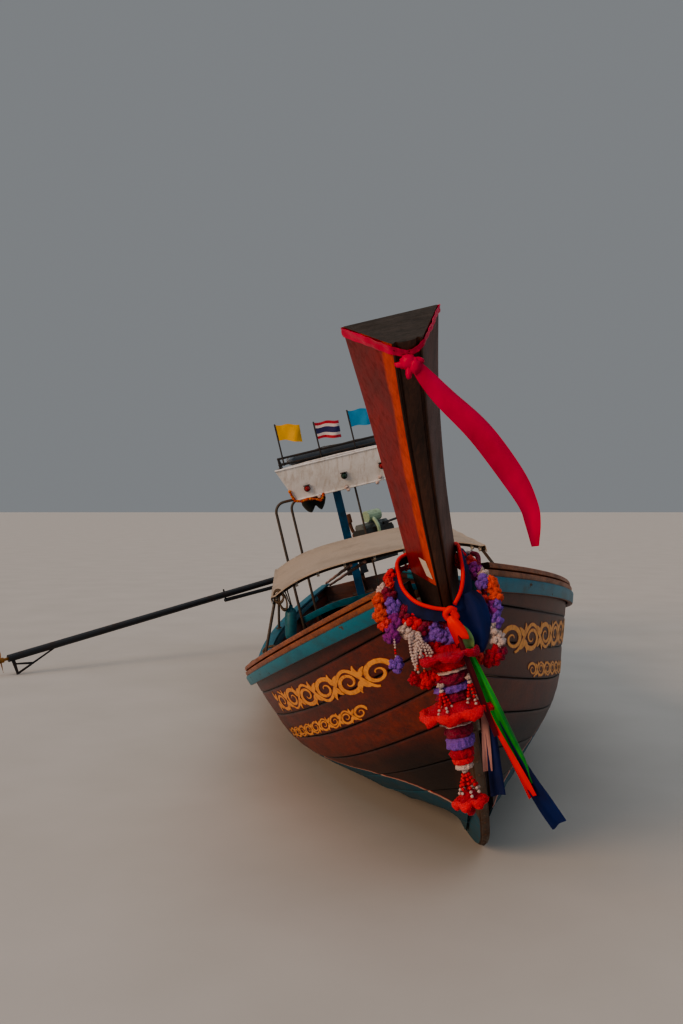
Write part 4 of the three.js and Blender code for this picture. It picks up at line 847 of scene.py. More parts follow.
# Prow: one thick post with a broad back and a narrow front, painted red to starboard with an orange strip
# where the paint has worn, oiled brown to port, a beaded dark front and a bare, weathered end grain on top.
def prow_finish():
    finish = Finish("painted_prow", Roughness=0.45, Specular_IOR_Level=0.3, Coat_Weight=0.06,
                    Coat_Roughness=0.3)
    along = finish.place((18, 4, 1.6), (0.7, -HEEL, 0))
    waver = finish.pattern("Noise", finish.place((1, 1, 0.8)), Scale=2.6, Detail=4.0)
    wood = finish.group(timber, along, Light=rgb(216, 78, 16), Dark=rgb(172, 42, 10), Grain=4.0, Streaks=0.7)
    red = finish.group(timber, along, Light=rgb(152, 16, 7), Dark=rgb(112, 10, 6), Grain=3.0, Streaks=0.55)
    blotched = finish.soil(red["Color"], rgb(88, 12, 8), 2.4, 0.7, (1, 1, 0.5))
    edge = finish.maths("ADD", finish.tint("from_edge"), finish.between(waver, 0.25, 0.75, -0.022, 0.022))
    both = finish.mix(finish.between(edge, 0.042, 0.060), wood["Color"], blotched["Color"])
    worn = finish.soil(both, rgb(66, 22, 14), 12.0, 0.35, (3, 3, 1))
    finish.color(worn["Color"])
    finish.roughness(finish.between(worn["Mask"], 0, 0.4, 0.36, 0.6))
    finish.relief(red["Height"], 0.0010, 0.5)
    return finish


prow_paint = prow_finish()
prow_brown = timber_finish("oiled_prow_side", rgb(106, 62, 48), rgb(52, 28, 21), (16, 5, 1.8), grain=7.0,
                           roughness=0.5, dirt=0.35, turn=(0.7, -HEEL, 0))
prow_front = timber_finish("beaded_prow_front", rgb(92, 58, 42), rgb(34, 20, 15), (16, 5, 1.8), grain=7.0,
                           roughness=0.5, dirt=0.5, turn=(0.7, -HEEL, 0))
prow_end = timber_finish("bare_end_grain", rgb(72, 66, 60), rgb(28, 26, 25), (5, 26, 26), grain=6.0,
                         streaks=0.8,
                         roughness=0.9, relief=0.004, dirt=0.6)
prow_foot = timber_finish("dark_prow_foot", rgb(58, 34, 24), rgb(26, 16, 12), (16, 5, 1.8), roughness=0.7,
                          dirt=0.6,
                          turn=(0.7, -HEEL, 0))
HEAD = len(STEM_LINES) - 1
# The end is sawn so that its front edge stands this much further up the post than its back edge.
CAP_SLANT = 0.100
RED_FROM = 7.02


def on_prow(row, across, deep_share, proud=0.0):
    """A place on the prow: as on the stem, its last row drawn up towards the front."""
    dx, dz = stem_at(row)[2:4]
    lift = CAP_SLANT * max(0.0, row - (HEAD - 1)) * (1 - deep_share)
    return on_stem(row, across, deep_share, proud) + boat_direction(-dz * lift, 0, dx * lift)


prow = Work("prow_timber")
# Columns of the section's bends, from the starboard back corner round the front: across, depth, proud.
PROW_SECTION = [
    (1.0, 0.985, 0), (1.0, 0.80, 0), (1.0, 0.55, 0), (1.0, 0.30, 0), (1.0, 0.14, 0), (0.99, 0.04, 0),
    (0.95, 0.008, 0), (0.86, 0.0, 0.0), (0.78, 0.0, -0.0065), (0.66, 0.0, -0.0080), (0.58, 0.0, -0.0010),
    (0.40, 0.0, 0.0015), (0.0, 0.0, 0.003), (-0.40, 0.0, 0.0015), (-0.58, 0.0, -0.0010),
    (-0.66, 0.0, -0.0080), (-0.78, 0.0, -0.0065), (-0.86, 0.0, 0.0), (-0.95, 0.008, 0), (-0.99, 0.04, 0),
    (-1.0, 0.14, 0), (-1.0, 0.30, 0), (-1.0, 0.55, 0), (-1.0, 0.80, 0), (-1.0, 0.985, 0), (-0.97, 1.0, 0),
    (-0.4, 1.0, 0), (0.4, 1.0, 0), (0.97, 1.0, 0),
]
PROW_ROWS = 72
rows, edges, painted = [], [], []
for i in range(PROW_ROWS + 1):
    row = STEM_HEAD + 0.004 + (HEAD - STEM_HEAD - 0.004) * i / PROW_ROWS
    shrink = 0.985 if i == PROW_ROWS else 1.0
    row_here = row - (0.012 if i == PROW_ROWS - 1 else 0.0)
    deep_here = stem_at(row_here)[6]
    rows.append([on_prow(row_here, a * shrink, 0.5 + (d - 0.5) * shrink, p) for a, d, p in PROW_SECTION])
    painted.append(row > RED_FROM)
    edges.append([d * deep_here for a, d, p in PROW_SECTION])
wide = len(PROW_SECTION)
# The strips round the section: paint to starboard, the beaded front, brown timber to port, the back.
RED_SIDE, FRONT_OR_BACK, BROWN_SIDE, SAWN_END, FOOT = range(5)
FINISH_OF_STRIP = [RED_SIDE] * 6 + [FRONT_OR_BACK] * 12 + [BROWN_SIDE] * 6 + [FRONT_OR_BACK] * 5
for strip, strip_finish in enumerate(FINISH_OF_STRIP):
    after = (strip + 1) % wide
    down_the_face = [FOOT if strip_finish == RED_SIDE and not red else strip_finish for red in painted[:-1]]
    prow.grid([[row[strip], row[after]] for row in rows], down_the_face,
              from_edge=[[e[strip], e[after]] for e in edges])
prow.add(rows[-1], [tuple(range(wide))], SAWN_END)
prow.add(rows[0], [tuple(reversed(range(wide)))], FRONT_OR_BACK)
prow.done([prow_paint, prow_front, prow_brown, prow_end, prow_foot], slot="painted_prow",
          replaces=["prow_post"], crease=30, join_within=0.0002)


# Bow ornament: a running leaf scroll in gold leaf paint with a dark red outline, brushed by hand over the
# varnish on both bows in two rows that follow the sheer.
def paint_finish(name, clean, dirt, size, amount, stretch=(1, 1, 1), roughness=0.5, relief=0.0):
    """A coat of paint or a smooth skin, soiled in patches; relief is how far the patches stand up."""
    finish = Finish(name, Roughness=roughness)
    soiled = finish.soil(clean, dirt, size, amount, stretch)
    finish.color(soiled["Color"])
    if relief:
        finish.relief(soiled["Mask"], relief, 0.5)
    return finish


gold_paint = paint_finish("gold_scroll_paint", rgb(230, 158, 72), rgb(166, 92, 36), 16.0, 0.9, (2, 2, 2),
                          0.45, 0.0006)
scroll_outline = paint_finish("scroll_outline_paint", rgb(116, 36, 20), rgb(60, 20, 14), 14.0, 0.8, (3, 3, 3))


def on_side(station, down, proud):
    """A place on the planks: its station on the sheer, the distance down the side, how proud of the skin."""
    t = round((station - SEAM_LINES[TOP][0]) / (SEAM_LINES[TOP][9] - SEAM_LINES[TOP][0]), 4)
    v = level_at(t, down)
    return skin(t, v) - skin_inward(t, v) * proud


# The ornament is read from ahead, so each turn is drawn twice as long as it is high.
DRAWN_LONG = 2.0


def stroke(work, line, widths, spread, row, hand, proud, finish):
    """One brush stroke: points along and across the row, each with its width, laid on the planks."""
    first, last, down_first, down_last = row[:4]
    rows = []
    for i, (x, y) in enumerate(line):
        ahead = line[min(i + 1, len(line) - 1)]
        behind = line[max(i - 1, 0)]
        run = Vector((ahead[0] - behind[0], ahead[1] - behind[1])).normalized()
        half = widths[i] / 2 + spread
        corners = []
        for k, bulge in ((1, 0), (0, 0.0006), (-1, 0)):
            station = first + DRAWN_LONG * (x - run.y * half * k)
            middle = down_first + (down_last - down_first) * (station - first) / (last - first)
            corners.append(to_side(on_side(station, middle + y + run.x * half * k, proud + bulge), hand))
        rows.append(corners)
    work.grid(rows, finish)


def taper(count, widest, sharp=0.5, least=0.15):
    shares = [sin(pi * (i / (count - 1)) ** sharp) for i in range(count)]
    return [widest * (least + (1 - least) * share) for share in shares]


def curl(x, y, size, start, turns, count=26):
    """A volute that winds in on itself from its foot at (x, y)."""
    line = []
    heart = (x - size * cos(start), y - size * sin(start))
    for i in range(count):
        share = i / (count - 1)
        angle = start + turns * 2 * pi * share
        reach = size * (1 - share) ** 0.8 + size * 0.10
        line.append((heart[0] + reach * cos(angle), heart[1] + reach * sin(angle)))
    return line


def leaf(x, y, length, lean, hook, count=12):
    """A flame-shaped leaf that bends over at its tip."""
    line = []
    for i in range(count):
        share = i / (count - 1)
        angle = lean + hook * share ** 1.6
        if not line:
            line.append((x, y))
        else:
            x, y = x + length / count * cos(angle), y + length / count * sin(angle)
            line.append((x, y))
    return line


def running_scroll(long, high):
    """A wavy vine with a volute rolled into each bay and flame leaves at each crossing."""
    bay = 0.86 * high
    bays = int(long / bay)
    strokes = []
    steps = range(12 * (bays - 1) + 1)
    vine = [(bay * (k / 12 + 0.1), 0.40 * high * cos(pi * k / 12)) for k in steps]
    strokes.append((vine, taper(len(vine), 0.11 * high, 0.5, 0.6)))
    for k in range(bays):
        way = 1 if k % 2 == 0 else -1
        heart = bay * (k + 0.1)
        spiral = curl(heart - 0.40 * high, -way * 0.02 * high, 0.36 * high, pi, way * 1.45)
        strokes.append((spiral, taper(len(spiral), 0.15 * high, 0.35)))
        for side, lean, size in ((-1, -0.95, 0.50), (-1, -1.75, 0.40), (1, 0.95, 0.50), (1, 1.75, 0.40)):
            foot = (heart + 0.5 * bay, side * 0.04 * high)
            blade = leaf(*foot, size * high, lean, side * 0.9)
            strokes.append((blade, taper(len(blade), 0.15 * high, 0.7)))
    return strokes


# Columns: first and last station of the row, how far its middle runs below the sheer at each, its height.
SCROLL_ROWS = [(-0.56, 1.42, 0.330, 0.268, 0.165), (-0.26, 1.30, 0.500, 0.535, 0.100)]
OUTLINE_WIDTH = 0.0035
for hand in BOTH_SIDES:
    scroll = Work(f"bow_scroll_{SIDE_NAMES[hand]}")
    for row in SCROLL_ROWS:
        for line, widths in running_scroll((row[1] - row[0]) / DRAWN_LONG, row[4]):
            stroke(scroll, line, widths, OUTLINE_WIDTH, row, hand, 0.0010, 0)
            stroke(scroll, line, widths, 0, row, hand, 0.0018, 1)
    scroll.done([scroll_outline, gold_paint], slot="varnished_planks", crease=60)


# Prow ribbon: a strip of hot pink satin wound once round the head of the prow, knotted in front, its
# free end blown out to port. A thin pale film is stuck to the post's red side below it.
def satin_finish(name, colour, crease_shade, roughness=0.48, sheen=0.08, size=260.0):
    """Shiny woven ribbon: fine cross threads and soft creases along it, with painted shade in the creases."""
    finish = Finish(name, Roughness=roughness, Specular_IOR_Level=0.3, Sheen_Weight=sheen,
                    Sheen_Roughness=0.4)
    creases = finish.pattern("Noise", finish.place((1, 1, 0.5)), Scale=7.0, Detail=4.0)
    weft = finish.pattern("Wave", finish.place(), "DIAGONAL", Scale=size)
    # Painted shade: the colour darkens in the creases.
    finish.color(finish.mix(finish.between(creases, 0.35, 0.65), crease_shade, colour))
    finish.relief(finish.maths("ADD", finish.maths("MULTIPLY", weft, 0.12), creases), 0.003, 0.5)
    return finish


pink_satin = satin_finish("pink_satin", rgb(222, 8, 80), rgb(184, 2, 58), sheen=0.1)
wound = Work("prow_ribbon_band")
# Columns: across and depth on the prow, how far below its end the ribbon starts, how broad it is there, both
# in rows of the stem.
RIBBON_ROUND = [
    (1, 0.03, 0.020, 0.125), (1, 0.3, 0.012, 0.140), (1, 0.6, 0.010, 0.150), (1, 0.9, 0.010, 0.155),
    (0.97, 1.0, 0.016, 0.150), (0.5, 1.0, 0.030, 0.140), (0, 1.0, 0.040, 0.140), (-0.5, 1.0, 0.030, 0.140),
    (-0.97, 1.0, 0.016, 0.120), (-1, 0.9, 0.010, 0.120), (-1, 0.6, 0.010, 0.115), (-1, 0.3, 0.014, 0.100),
    (-1, 0.03, 0.040, 0.090), (-0.5, 0.0, 0.105, 0.080), (0.0, 0.0, 0.130, 0.080), (0.5, 0.0, 0.085, 0.100),
]
ACROSS_RIBBON = (0, 0.25, 0.5, 0.75, 1)
rows = []
for step, (a, d, below, broad) in enumerate(smooth_line(RIBBON_ROUND + [RIBBON_ROUND[0]], 5)[:-1]):
    top_row = HEAD - below
    out = 0.0040 + 0.0020 * sin(step * 1.7)
    front, back = [], []
    for share in ACROSS_RIBBON:
        row = top_row - broad * share
        flat = on_prow(row, a, d)
        away = (flat - on_prow(row, 0, 0.5)).normalized()
        fold = 0.0022 * sin(share * 7 + step * 0.5)
        front.append(flat + away * (out + fold + 0.0016))
        back.append(flat + away * (out + fold))
    rows.append(front + back[::-1])
wound.grid(rows, round_rows=True, round_columns=True)
band_piece = wound.done([pink_satin], slot="pink_ribbon", replaces=["prow_ribbon"], crease=60)


def run_at(line, i):
    """The direction in which a line of places runs at its point i."""
    ahead, behind = line[min(i + 1, len(line) - 1)], line[max(i - 1, 0)]
    return (Vector(ahead[:3]) - Vector(behind[:3])).normalized()


def cloth_strip(work, points, folds=0.0, waves=1.0, thick=0.0018, across=9, steps=8, face=(-1, 0, 0),
                finish=0,
                sway=0.0, **tints):
    """A strip of cloth on a smooth line of s, b, z and width, its flat side to face, folded lengthwise."""
    line = smooth_line(points, steps)
    front = Vector(face).normalized()
    rings = []
    length = 0.0
    for i, (s, b, z, width) in enumerate(line):
        here = Vector((s, b, z))
        run = run_at(line, i)
        side = run.cross(front).normalized()
        out = side.cross(run).normalized()
        length += (here - Vector(line[max(i - 1, 0)][:3])).length
        top, under = [], []
        for k in range(across):
            u = k / (across - 1) - 0.5
            swell = folds * width * cos(2 * pi * waves * u + sway * i / len(line) * 6)
            ripple = 0.0016 * noise.noise(Vector((u * 5, length * 24, width * 40)))
            p = here + side * (u * width) + out * (swell + ripple)
            top.append(aboard(*(p + out * thick / 2)))
            under.append(aboard(*(p - out * thick / 2)))
        rings.append(top + under[::-1])
    work.loft(rings, finish, **tints)
    return length


tail = Work("prow_ribbon_tail")
RIBBON_TAIL = [
    (-1.672, -0.012, 2.272, 0.040), (-1.668, -0.045, 2.206, 0.062), (-1.658, -0.090, 2.130, 0.074),
    (-1.650, -0.180, 1.990, 0.086), (-1.640, -0.255, 1.820, 0.084), (-1.630, -0.288, 1.710, 0.066),
    (-1.622, -0.290, 1.640, 0.054), (-1.620, -0.280, 1.560, 0.026),
]
tail_length = cloth_strip(tail, RIBBON_TAIL, folds=0.10, waves=0.8, sway=0.5)
tail_piece = tail.done([pink_satin], slot="pink_ribbon", crease=70)

knot = Work("prow_ribbon_knot")
# Columns: place, radius, how it is drawn out, for each of the knot's folds.
KNOT_FOLDS = [
    ((-1.664, 0.006, 2.284), 0.024, (1.2, 0.9, 1.1)), ((-1.674, -0.012, 2.262), 0.021, (0.9, 0.8, 1.3)),
    ((-1.660, 0.026, 2.278), 0.016, (1.8, 0.7, 0.8)), ((-1.666, 0.014, 2.246), 0.015, (0.8, 0.8, 1.5)),
    ((-1.668, -0.026, 2.280), 0.014, (1.6, 0.7, 0.9)),
]
for spot, radius, drawn in KNOT_FOLDS:
    knot.knob(spot, radius, rows=12, around=18, stretch=drawn, lumps=0.28, rough=2.3)
knot.done([pink_satin], slot="pink_ribbon", crease=80)

label = Work("bare_label")
# Columns: row of the prow, nearest and furthest share of its depth.
LABEL_ROWS = [(7.34, 0.20, 0.46), (7.27, 0.155, 0.41), (7.20, 0.105, 0.355), (7.13, 0.06, 0.30)]
label_rows = []
LABEL_PROUD = boat_direction(0, 0.0014, 0)
for row, near, far in LABEL_ROWS:
    label_rows.append([on_stem(row, 1, near + (far - near) * k / 3) + LABEL_PROUD for k in range(4)])
label.grid(label_rows)
label_paper = paint_finish("bare_label_film", rgb(204, 196, 182), rgb(150, 126, 104), 30.0, 0.8)
label.done([label_paper], slot="painted_prow")


# Garlands: crocheted yarn flowers sewn round a ring that hangs over the stem's head, with bead strings,
# and a long plumb garland of yarn bands with three frills below it. Each flower takes its own dyed yarn.
YARN = {
    "red": rgb(255, 38, 56), "coral": rgb(255, 78, 72), "orange": rgb(255, 98, 60),
    "maroon": rgb(156, 12, 64), "purple": rgb(158, 38, 162), "violet": rgb(144, 98, 218),
    "white": rgb(232, 214, 208), "wine": rgb(206, 14, 54),
}
yarn = Finish("crochet_yarn", Roughness=0.95, Specular_IOR_Level=0.15, Sheen_Weight=0.08, Sheen_Roughness=0.5)
loops = yarn.pattern("Voronoi", yarn.place(), Scale=150.0)
strands = yarn.pattern("Noise", yarn.place(), Scale=420.0, Detail=3.0)
# Painted shade: the dyed yarn is darker in the hollows of its loops.
shaded_pits = yarn.mix(yarn.between(loops, 0.35, 0.95, 0, 0.55), yarn.tint("yarn", "Color"), (0.56, 0.46, 0.50, 1),
                "MULTIPLY")
yarn.color(yarn.mix(yarn.between(strands, 0.45, 0.75, 0, 0.16), shaded_pits, (1, 0.75, 0.75, 1)))
yarn.relief(yarn.maths("ADD", yarn.maths("MULTIPLY", loops, -1.0), strands), 0.006, 1.0)


def flower(work, place, size, colour, squash=1.0, petals=7):
    """A crocheted flower: a puffed heart, a ring of shaggy petals and a second, smaller ring before it."""
    s, b, z = place
    work.knob((s, b, z), size * 0.75, rows=8, around=12, stretch=(1, 1, squash), lumps=0.5, rough=3.6,
              yarn=YARN[colour])
    start = 31 * b + 17 * z
    for spread, puff, forward, count in ((0.80, 0.46, 0.05, petals), (0.42, 0.38, 0.62, petals - 3)):
        for k in range(count):
            turn = 2 * pi * (k + 0.3 * sin(start + 2.3 * k)) / count
            before = size * (forward + 0.16 * sin(k * 2.3 + start))
            wide = size * spread
            spot = (s - before, b + wide * cos(turn), z + wide * sin(turn) * squash)
            petal = size * puff * (1 + 0.18 * sin(k * 4.1))
            work.knob(spot, petal, rows=6, around=9, lumps=0.7, rough=3.4, yarn=YARN[colour])


def bead_string(work, top, foot, size=0.0048, sag=0.0, colours=("white", "red")):
    """Glass beads threaded close on a string, in short runs of colour."""
    top, foot = Vector(top), Vector(foot)
    count = max(2, int((foot - top).length / (size * 2.15)))
    for i in range(count + 1):
        share = i / count
        spot = top.lerp(foot, share)
        spot.y += sag * sin(pi * share)
        colour = colours[(i // 2) % len(colours)]
        work.knob(spot, size * (0.95 + 0.2 * ((i * 7) % 3) / 3), rows=5, around=8, yarn=YARN[colour])


def ring_station(z):
    """How far aft the ring lies where it is z up: it leans back against the bow as it rises."""
    return float(np.interp(z, (1.10, 1.25, 1.40, 1.46, 1.53), (-1.105, -1.085, -1.030, -0.970, -0.900)))


# Columns: b and z of the flower's heart, its size, its yarn.
RING_FLOWERS = [
    (0.185, 1.510, 0.026, "red"), (0.205, 1.480, 0.022, "coral"), (0.235, 1.470, 0.022, "white"),
    (0.262, 1.435, 0.024, "orange"), (0.225, 1.440, 0.028, "maroon"), (0.268, 1.385, 0.027, "orange"),
    (0.222, 1.395, 0.032, "violet"), (0.262, 1.345, 0.024, "coral"), (0.225, 1.345, 0.028, "purple"),
    (0.250, 1.302, 0.028, "purple"), (0.186, 1.362, 0.028, "maroon"), (0.155, 1.328, 0.034, "red"),
    (0.192, 1.308, 0.026, "white"), (0.163, 1.280, 0.026, "white"), (0.116, 1.296, 0.034, "maroon"),
    (0.130, 1.340, 0.024, "red"), (0.080, 1.262, 0.036, "violet"), (0.036, 1.240, 0.034, "violet"),
    (0.040, 1.290, 0.028, "maroon"), (0.090, 1.205, 0.030, "wine"), (-0.010, 1.270, 0.026, "maroon"),
    (-0.112, 1.512, 0.026, "red"), (-0.140, 1.490, 0.024, "coral"), (-0.152, 1.460, 0.026, "purple"),
    (-0.176, 1.442, 0.020, "white"), (-0.168, 1.410, 0.026, "violet"), (-0.196, 1.396, 0.024, "orange"),
    (-0.198, 1.350, 0.024, "orange"), (-0.128, 1.345, 0.028, "coral"), (-0.160, 1.300, 0.026, "purple"),
    (-0.186, 1.310, 0.022, "violet"), (-0.168, 1.265, 0.026, "violet"), (-0.142, 1.226, 0.024, "white"),
    (-0.156, 1.180, 0.026, "white"), (-0.130, 1.128, 0.028, "wine"), (-0.100, 1.120, 0.024, "wine"),
    (-0.062, 1.140, 0.024, "coral"), (-0.155, 1.135, 0.022, "maroon"), (0.020, 1.200, 0.026, "wine"),
]
ring = Work("garland_ring_flowers")
PLUMP = 1.18
for b, z, size, colour in RING_FLOWERS:
    flower(ring, (ring_station(z), b, z), size * PLUMP, colour)
RING_ROPE = [
    (-1.045, 0.02, 1.235), (-1.045, 0.10, 1.260), (-1.035, 0.17, 1.300), (-1.010, 0.21, 1.360),
    (-0.975, 0.215, 1.420), (-0.925, 0.205, 1.480), (-0.880, 0.195, 1.520), (-0.852, 0.110, 1.532),
    (-0.848, 0.0, 1.533), (-0.852, -0.110, 1.532), (-0.880, -0.185, 1.520), (-0.925, -0.180, 1.480),
    (-0.985, -0.165, 1.420), (-1.020, -0.160, 1.350), (-1.045, -0.14, 1.280), (-1.050, -0.06, 1.240),
]
core = smooth_line([RING_ROPE[-1]] + RING_ROPE + [RING_ROPE[0]], 5)[5:-6]
ring.rod(core, 0.011, sides=8, closed=True, yarn=YARN["maroon"])
# Behind, where the ring lies over the rails, small puffs stand close together on the cord.
for i in range(15):
    share = i / 14
    p = core[int(len(core) * (0.40 + 0.24 * share))]
    flower(ring, p, 0.014, ("coral", "violet", "white", "wine")[i % 4], petals=5)
# The bead tassel and the loose white bunch under the ring's starboard side.
bead_string(ring, (-1.09, 0.246, 1.285), (-1.09, 0.258, 1.205), colours=("white", "white", "red"))
flower(ring, (-1.09, 0.262, 1.183), 0.028, "violet")
bunch_luck = random.Random(5)
for k in range(15):
    head = (-1.118 - 0.010 * (k % 3), 0.168 + bunch_luck.uniform(-0.022, 0.022),
            1.278 + bunch_luck.uniform(-0.02, 0.012))
    foot = (-1.128 - bunch_luck.uniform(0, 0.02), 0.155 + bunch_luck.uniform(-0.045, 0.045),
            1.170 + bunch_luck.uniform(-0.03, 0.035))
    bead_string(ring, head, foot, size=0.0056, sag=bunch_luck.uniform(-0.010, 0.010),
                colours=("white",) * 5 + ("coral",))
# Columns: b and z of the flower's heart, its size, its yarn.
FOOT_FLOWERS = [(0.205, 1.112, 0.024, "wine"), (0.165, 1.096, 0.030, "red"), (0.125, 1.104, 0.028, "red"),
                (0.090, 1.120, 0.024, "wine")]
for b, z, size, colour in FOOT_FLOWERS:
    flower(ring, (-1.11, b, z), size, colour)
ring.done([yarn], slot="yarn_flowers", replaces=["garland_ring"], crease=180)


HANG_STATION = -1.090


def hang_place(z):
    """The long garland hangs plumb, so aboard it leans to starboard as it falls."""
    return 0.055 + 0.055 * (1.160 - z) / 0.640


def round_garland(turn, reach, z, drop=0.0):
    """A place at reach from the garland's middle, which is taken at z; drop lowers the place from there."""
    return aboard(HANG_STATION + reach * cos(turn), hang_place(z) + reach * sin(turn), z - drop)


def yarn_band(work, z_top, z_low, radius, colour, lumps=0.22, bulge=0.16, around=64, rows=8):
    rings = []
    for r in range(rows + 1):
        share = r / rows
        z = z_top + (z_low - z_top) * share
        ring_here = []
        for turn in once_round(around):
            reach = radius * (1 - bulge + bulge * sin(pi * share) ** 0.5)
            reach *= 1 + lumps * noise.noise(Vector((cos(turn) * 4, sin(turn) * 4, z * 70)))
            ring_here.append(round_garland(turn, reach, z))
        rings.append(ring_here)
    work.loft(rings, yarn=YARN[colour])


def frill(work, z, inner, outer, drop, scallops, rim, under="wine", edge="red"):
    """A gathered skirt of yarn whose rim is one thick shaggy roll laid in scallops."""
    around = scallops * 14
    rows = []
    for r in range(9):
        share = r / 8
        reach = inner + (outer - inner) * share
        row = []
        for turn in once_round(around):
            wave = sin(turn * scallops) * share
            row.append(round_garland(turn, reach * (1 + 0.06 * wave), z, drop * share ** 1.4 - 0.008 * wave))
        rows.append(row)
    lower = [[p + boat_direction(0, 0, -0.010) for p in row] for row in rows[::-1]]
    work.grid(rows + lower, yarn=YARN[under], round_rows=True, round_columns=True)
    rings = []
    sides = 12
    for turn in once_round(around):
        scallop = abs(sin(turn * scallops / 2))
        reach = outer * (1 + 0.10 * scallop)
        ring_here = []
        for angle in once_round(sides):
            spot = Vector((cos(turn) * reach, sin(turn) * reach, 0))
            round_rim = Vector((cos(angle), sin(angle), z * 50))
            thick = rim * (0.55 + 0.45 * scallop) * (1 + 0.55 * noise.noise(spot * 60 + round_rim * 1.6))
            ring_here.append(round_garland(turn, reach + thick * cos(angle), z,
                                           drop + 0.010 * scallop - 1.15 * thick * sin(angle)))
        rings.append(ring_here)
    work.grid(rings, yarn=YARN[edge], round_rows=True, round_columns=True)


def tassel(work, place, drop, spread, strands, size=0.0062):
    """Bead strings that hang from one knot and stand apart at their feet."""
    s, b, z = place
    for k in range(strands):
        turn = 2 * pi * (k + 0.5) / strands
        foot = (s + spread * cos(turn), b + spread * sin(turn), z - drop * (1 - 0.07 * (k % 3)))
        bead_string(work, place, foot, size=size, colours=("white", "red", "red"))
    flower(work, (s, b, z + 0.008), 0.012, "white", petals=5)


garland = Work("hanging_garland_yarn")
# Columns: top and foot of the band, radius, yarn.
GARLAND_BANDS = [
    (1.215, 1.165, 0.058, "wine"), (1.165, 1.118, 0.070, "red"), (1.118, 1.106, 0.074, "white"),
    (1.106, 1.058, 0.070, "maroon"), (1.058, 1.028, 0.072, "violet"), (1.028, 0.992, 0.068, "maroon"),
    (0.992, 0.962, 0.066, "wine"), (0.962, 0.905, 0.074, "red"), (0.905, 0.893, 0.066, "white"),
    (0.893, 0.845, 0.056, "maroon"), (0.845, 0.800, 0.058, "violet"), (0.800, 0.760, 0.048, "wine"),
    (0.760, 0.735, 0.042, "red"), (0.735, 0.712, 0.036, "white"),
]
for top, foot, radius, colour in GARLAND_BANDS:
    yarn_band(garland, top, foot, radius, colour)
frill(garland, 1.196, 0.050, 0.116, 0.014, 7, 0.015, edge="wine")
frill(garland, 0.992, 0.058, 0.124, 0.040, 8, 0.021)
frill(garland, 0.602, 0.020, 0.052, 0.018, 6, 0.018)
yarn_band(garland, 0.620, 0.590, 0.030, "wine")
yarn_band(garland, 0.575, 0.522, 0.018, "wine", bulge=0.5)
tassel(garland, (HANG_STATION - 0.064, hang_place(1.05) + 0.052, 1.062), 0.105, 0.034, 5)
tassel(garland, (HANG_STATION - 0.060, hang_place(1.05) - 0.066, 1.070), 0.110, 0.034, 5)
tassel(garland, (HANG_STATION, hang_place(0.70), 0.716), 0.108, 0.042, 7, size=0.0070)
garland.bar([aboard(HANG_STATION, hang_place(z), z) for z in (1.24, 1.0, 0.8, 0.6, 0.56)], 0.004, sides=6,
            yarn=YARN["wine"])
garland.done([yarn], slot="garland_yarn", replaces=["hanging_garland"], crease=180)


# Sashes: a navy cloth band and an orange cord laid round the prow above the flowers, knotted in front;
# the free ends, a green, a maroon, a pale pink and two navy ribbons, hang and trail to port.
navy_cloth = satin_finish("navy_cloth", rgb(12, 36, 100), rgb(6, 14, 48), roughness=0.7, size=380.0)
orange_cloth = satin_finish("orange_cloth", rgb(250, 40, 26), rgb(220, 22, 18))
maroon_cloth = satin_finish("maroon_cloth", rgb(106, 10, 30), rgb(62, 4, 20))
green_satin = satin_finish("green_satin", rgb(66, 190, 66), rgb(26, 120, 40))
pale_green = satin_finish("pale_green_cloth", rgb(128, 168, 106), rgb(86, 124, 72), roughness=0.7)
pale_cloth = satin_finish("pale_pink_cloth", rgb(186, 140, 134), rgb(144, 102, 100), roughness=0.7)

NECK = [
    (-1.128, 0.012, 1.330, 0.052), (-1.108, 0.080, 1.350, 0.056), (-1.075, 0.142, 1.385, 0.058),
    (-1.020, 0.176, 1.440, 0.056), (-0.965, 0.176, 1.500, 0.052), (-0.905, 0.165, 1.545, 0.046),
    (-0.858, 0.120, 1.566, 0.044), (-0.842, 0.0, 1.572, 0.044), (-0.858, -0.110, 1.566, 0.044),
    (-0.905, -0.130, 1.556, 0.046), (-0.965, -0.120, 1.520, 0.052), (-1.030, -0.104, 1.450, 0.056),
    (-1.085, -0.070, 1.388, 0.058), (-1.122, -0.022, 1.345, 0.052),
]
band = Work("navy_neck_band")
line = smooth_line(NECK, 7)
heart = Vector((-0.98, 0.02, 1.75))
rings = []
for i, (s, b, z, width) in enumerate(line):
    here = Vector((s, b, z))
    run = run_at(line, i)
    lean = heart - here
    lean = (lean - run * lean.dot(run)).normalized()
    out = run.cross(lean).normalized()
    top = []
    for u in (-0.5, -0.25, 0, 0.25, 0.5):
        top.append(here + lean * (u * width) + out * (0.0022 + 0.004 * cos(u * 9 + i * 0.4)))
    under = [p - out * 0.002 for p in top[::-1]]
    rings.append([aboard(*p) for p in top + under])
band.loft(rings)
neck_piece = band.done([navy_cloth], slot="sash_cloth", crease=70)

cord = Work("orange_neck_cord")
inner = [(s - 0.006, b * 0.90 + 0.001, z + width * 0.44) for s, b, z, width in NECK]
cord.rod(smooth_line(inner, 7), 0.0085, sides=9)
knot_cord = [(-1.150, -0.012, 1.345), (-1.158, 0.008, 1.358), (-1.150, 0.030, 1.340), (-1.146, 0.014, 1.312),
             (-1.156, -0.012, 1.322), (-1.160, 0.004, 1.346)]
cord.rod(smooth_line(knot_cord, 6), 0.0125)
cord.done([orange_cloth], slot="sash_cloth", crease=80)

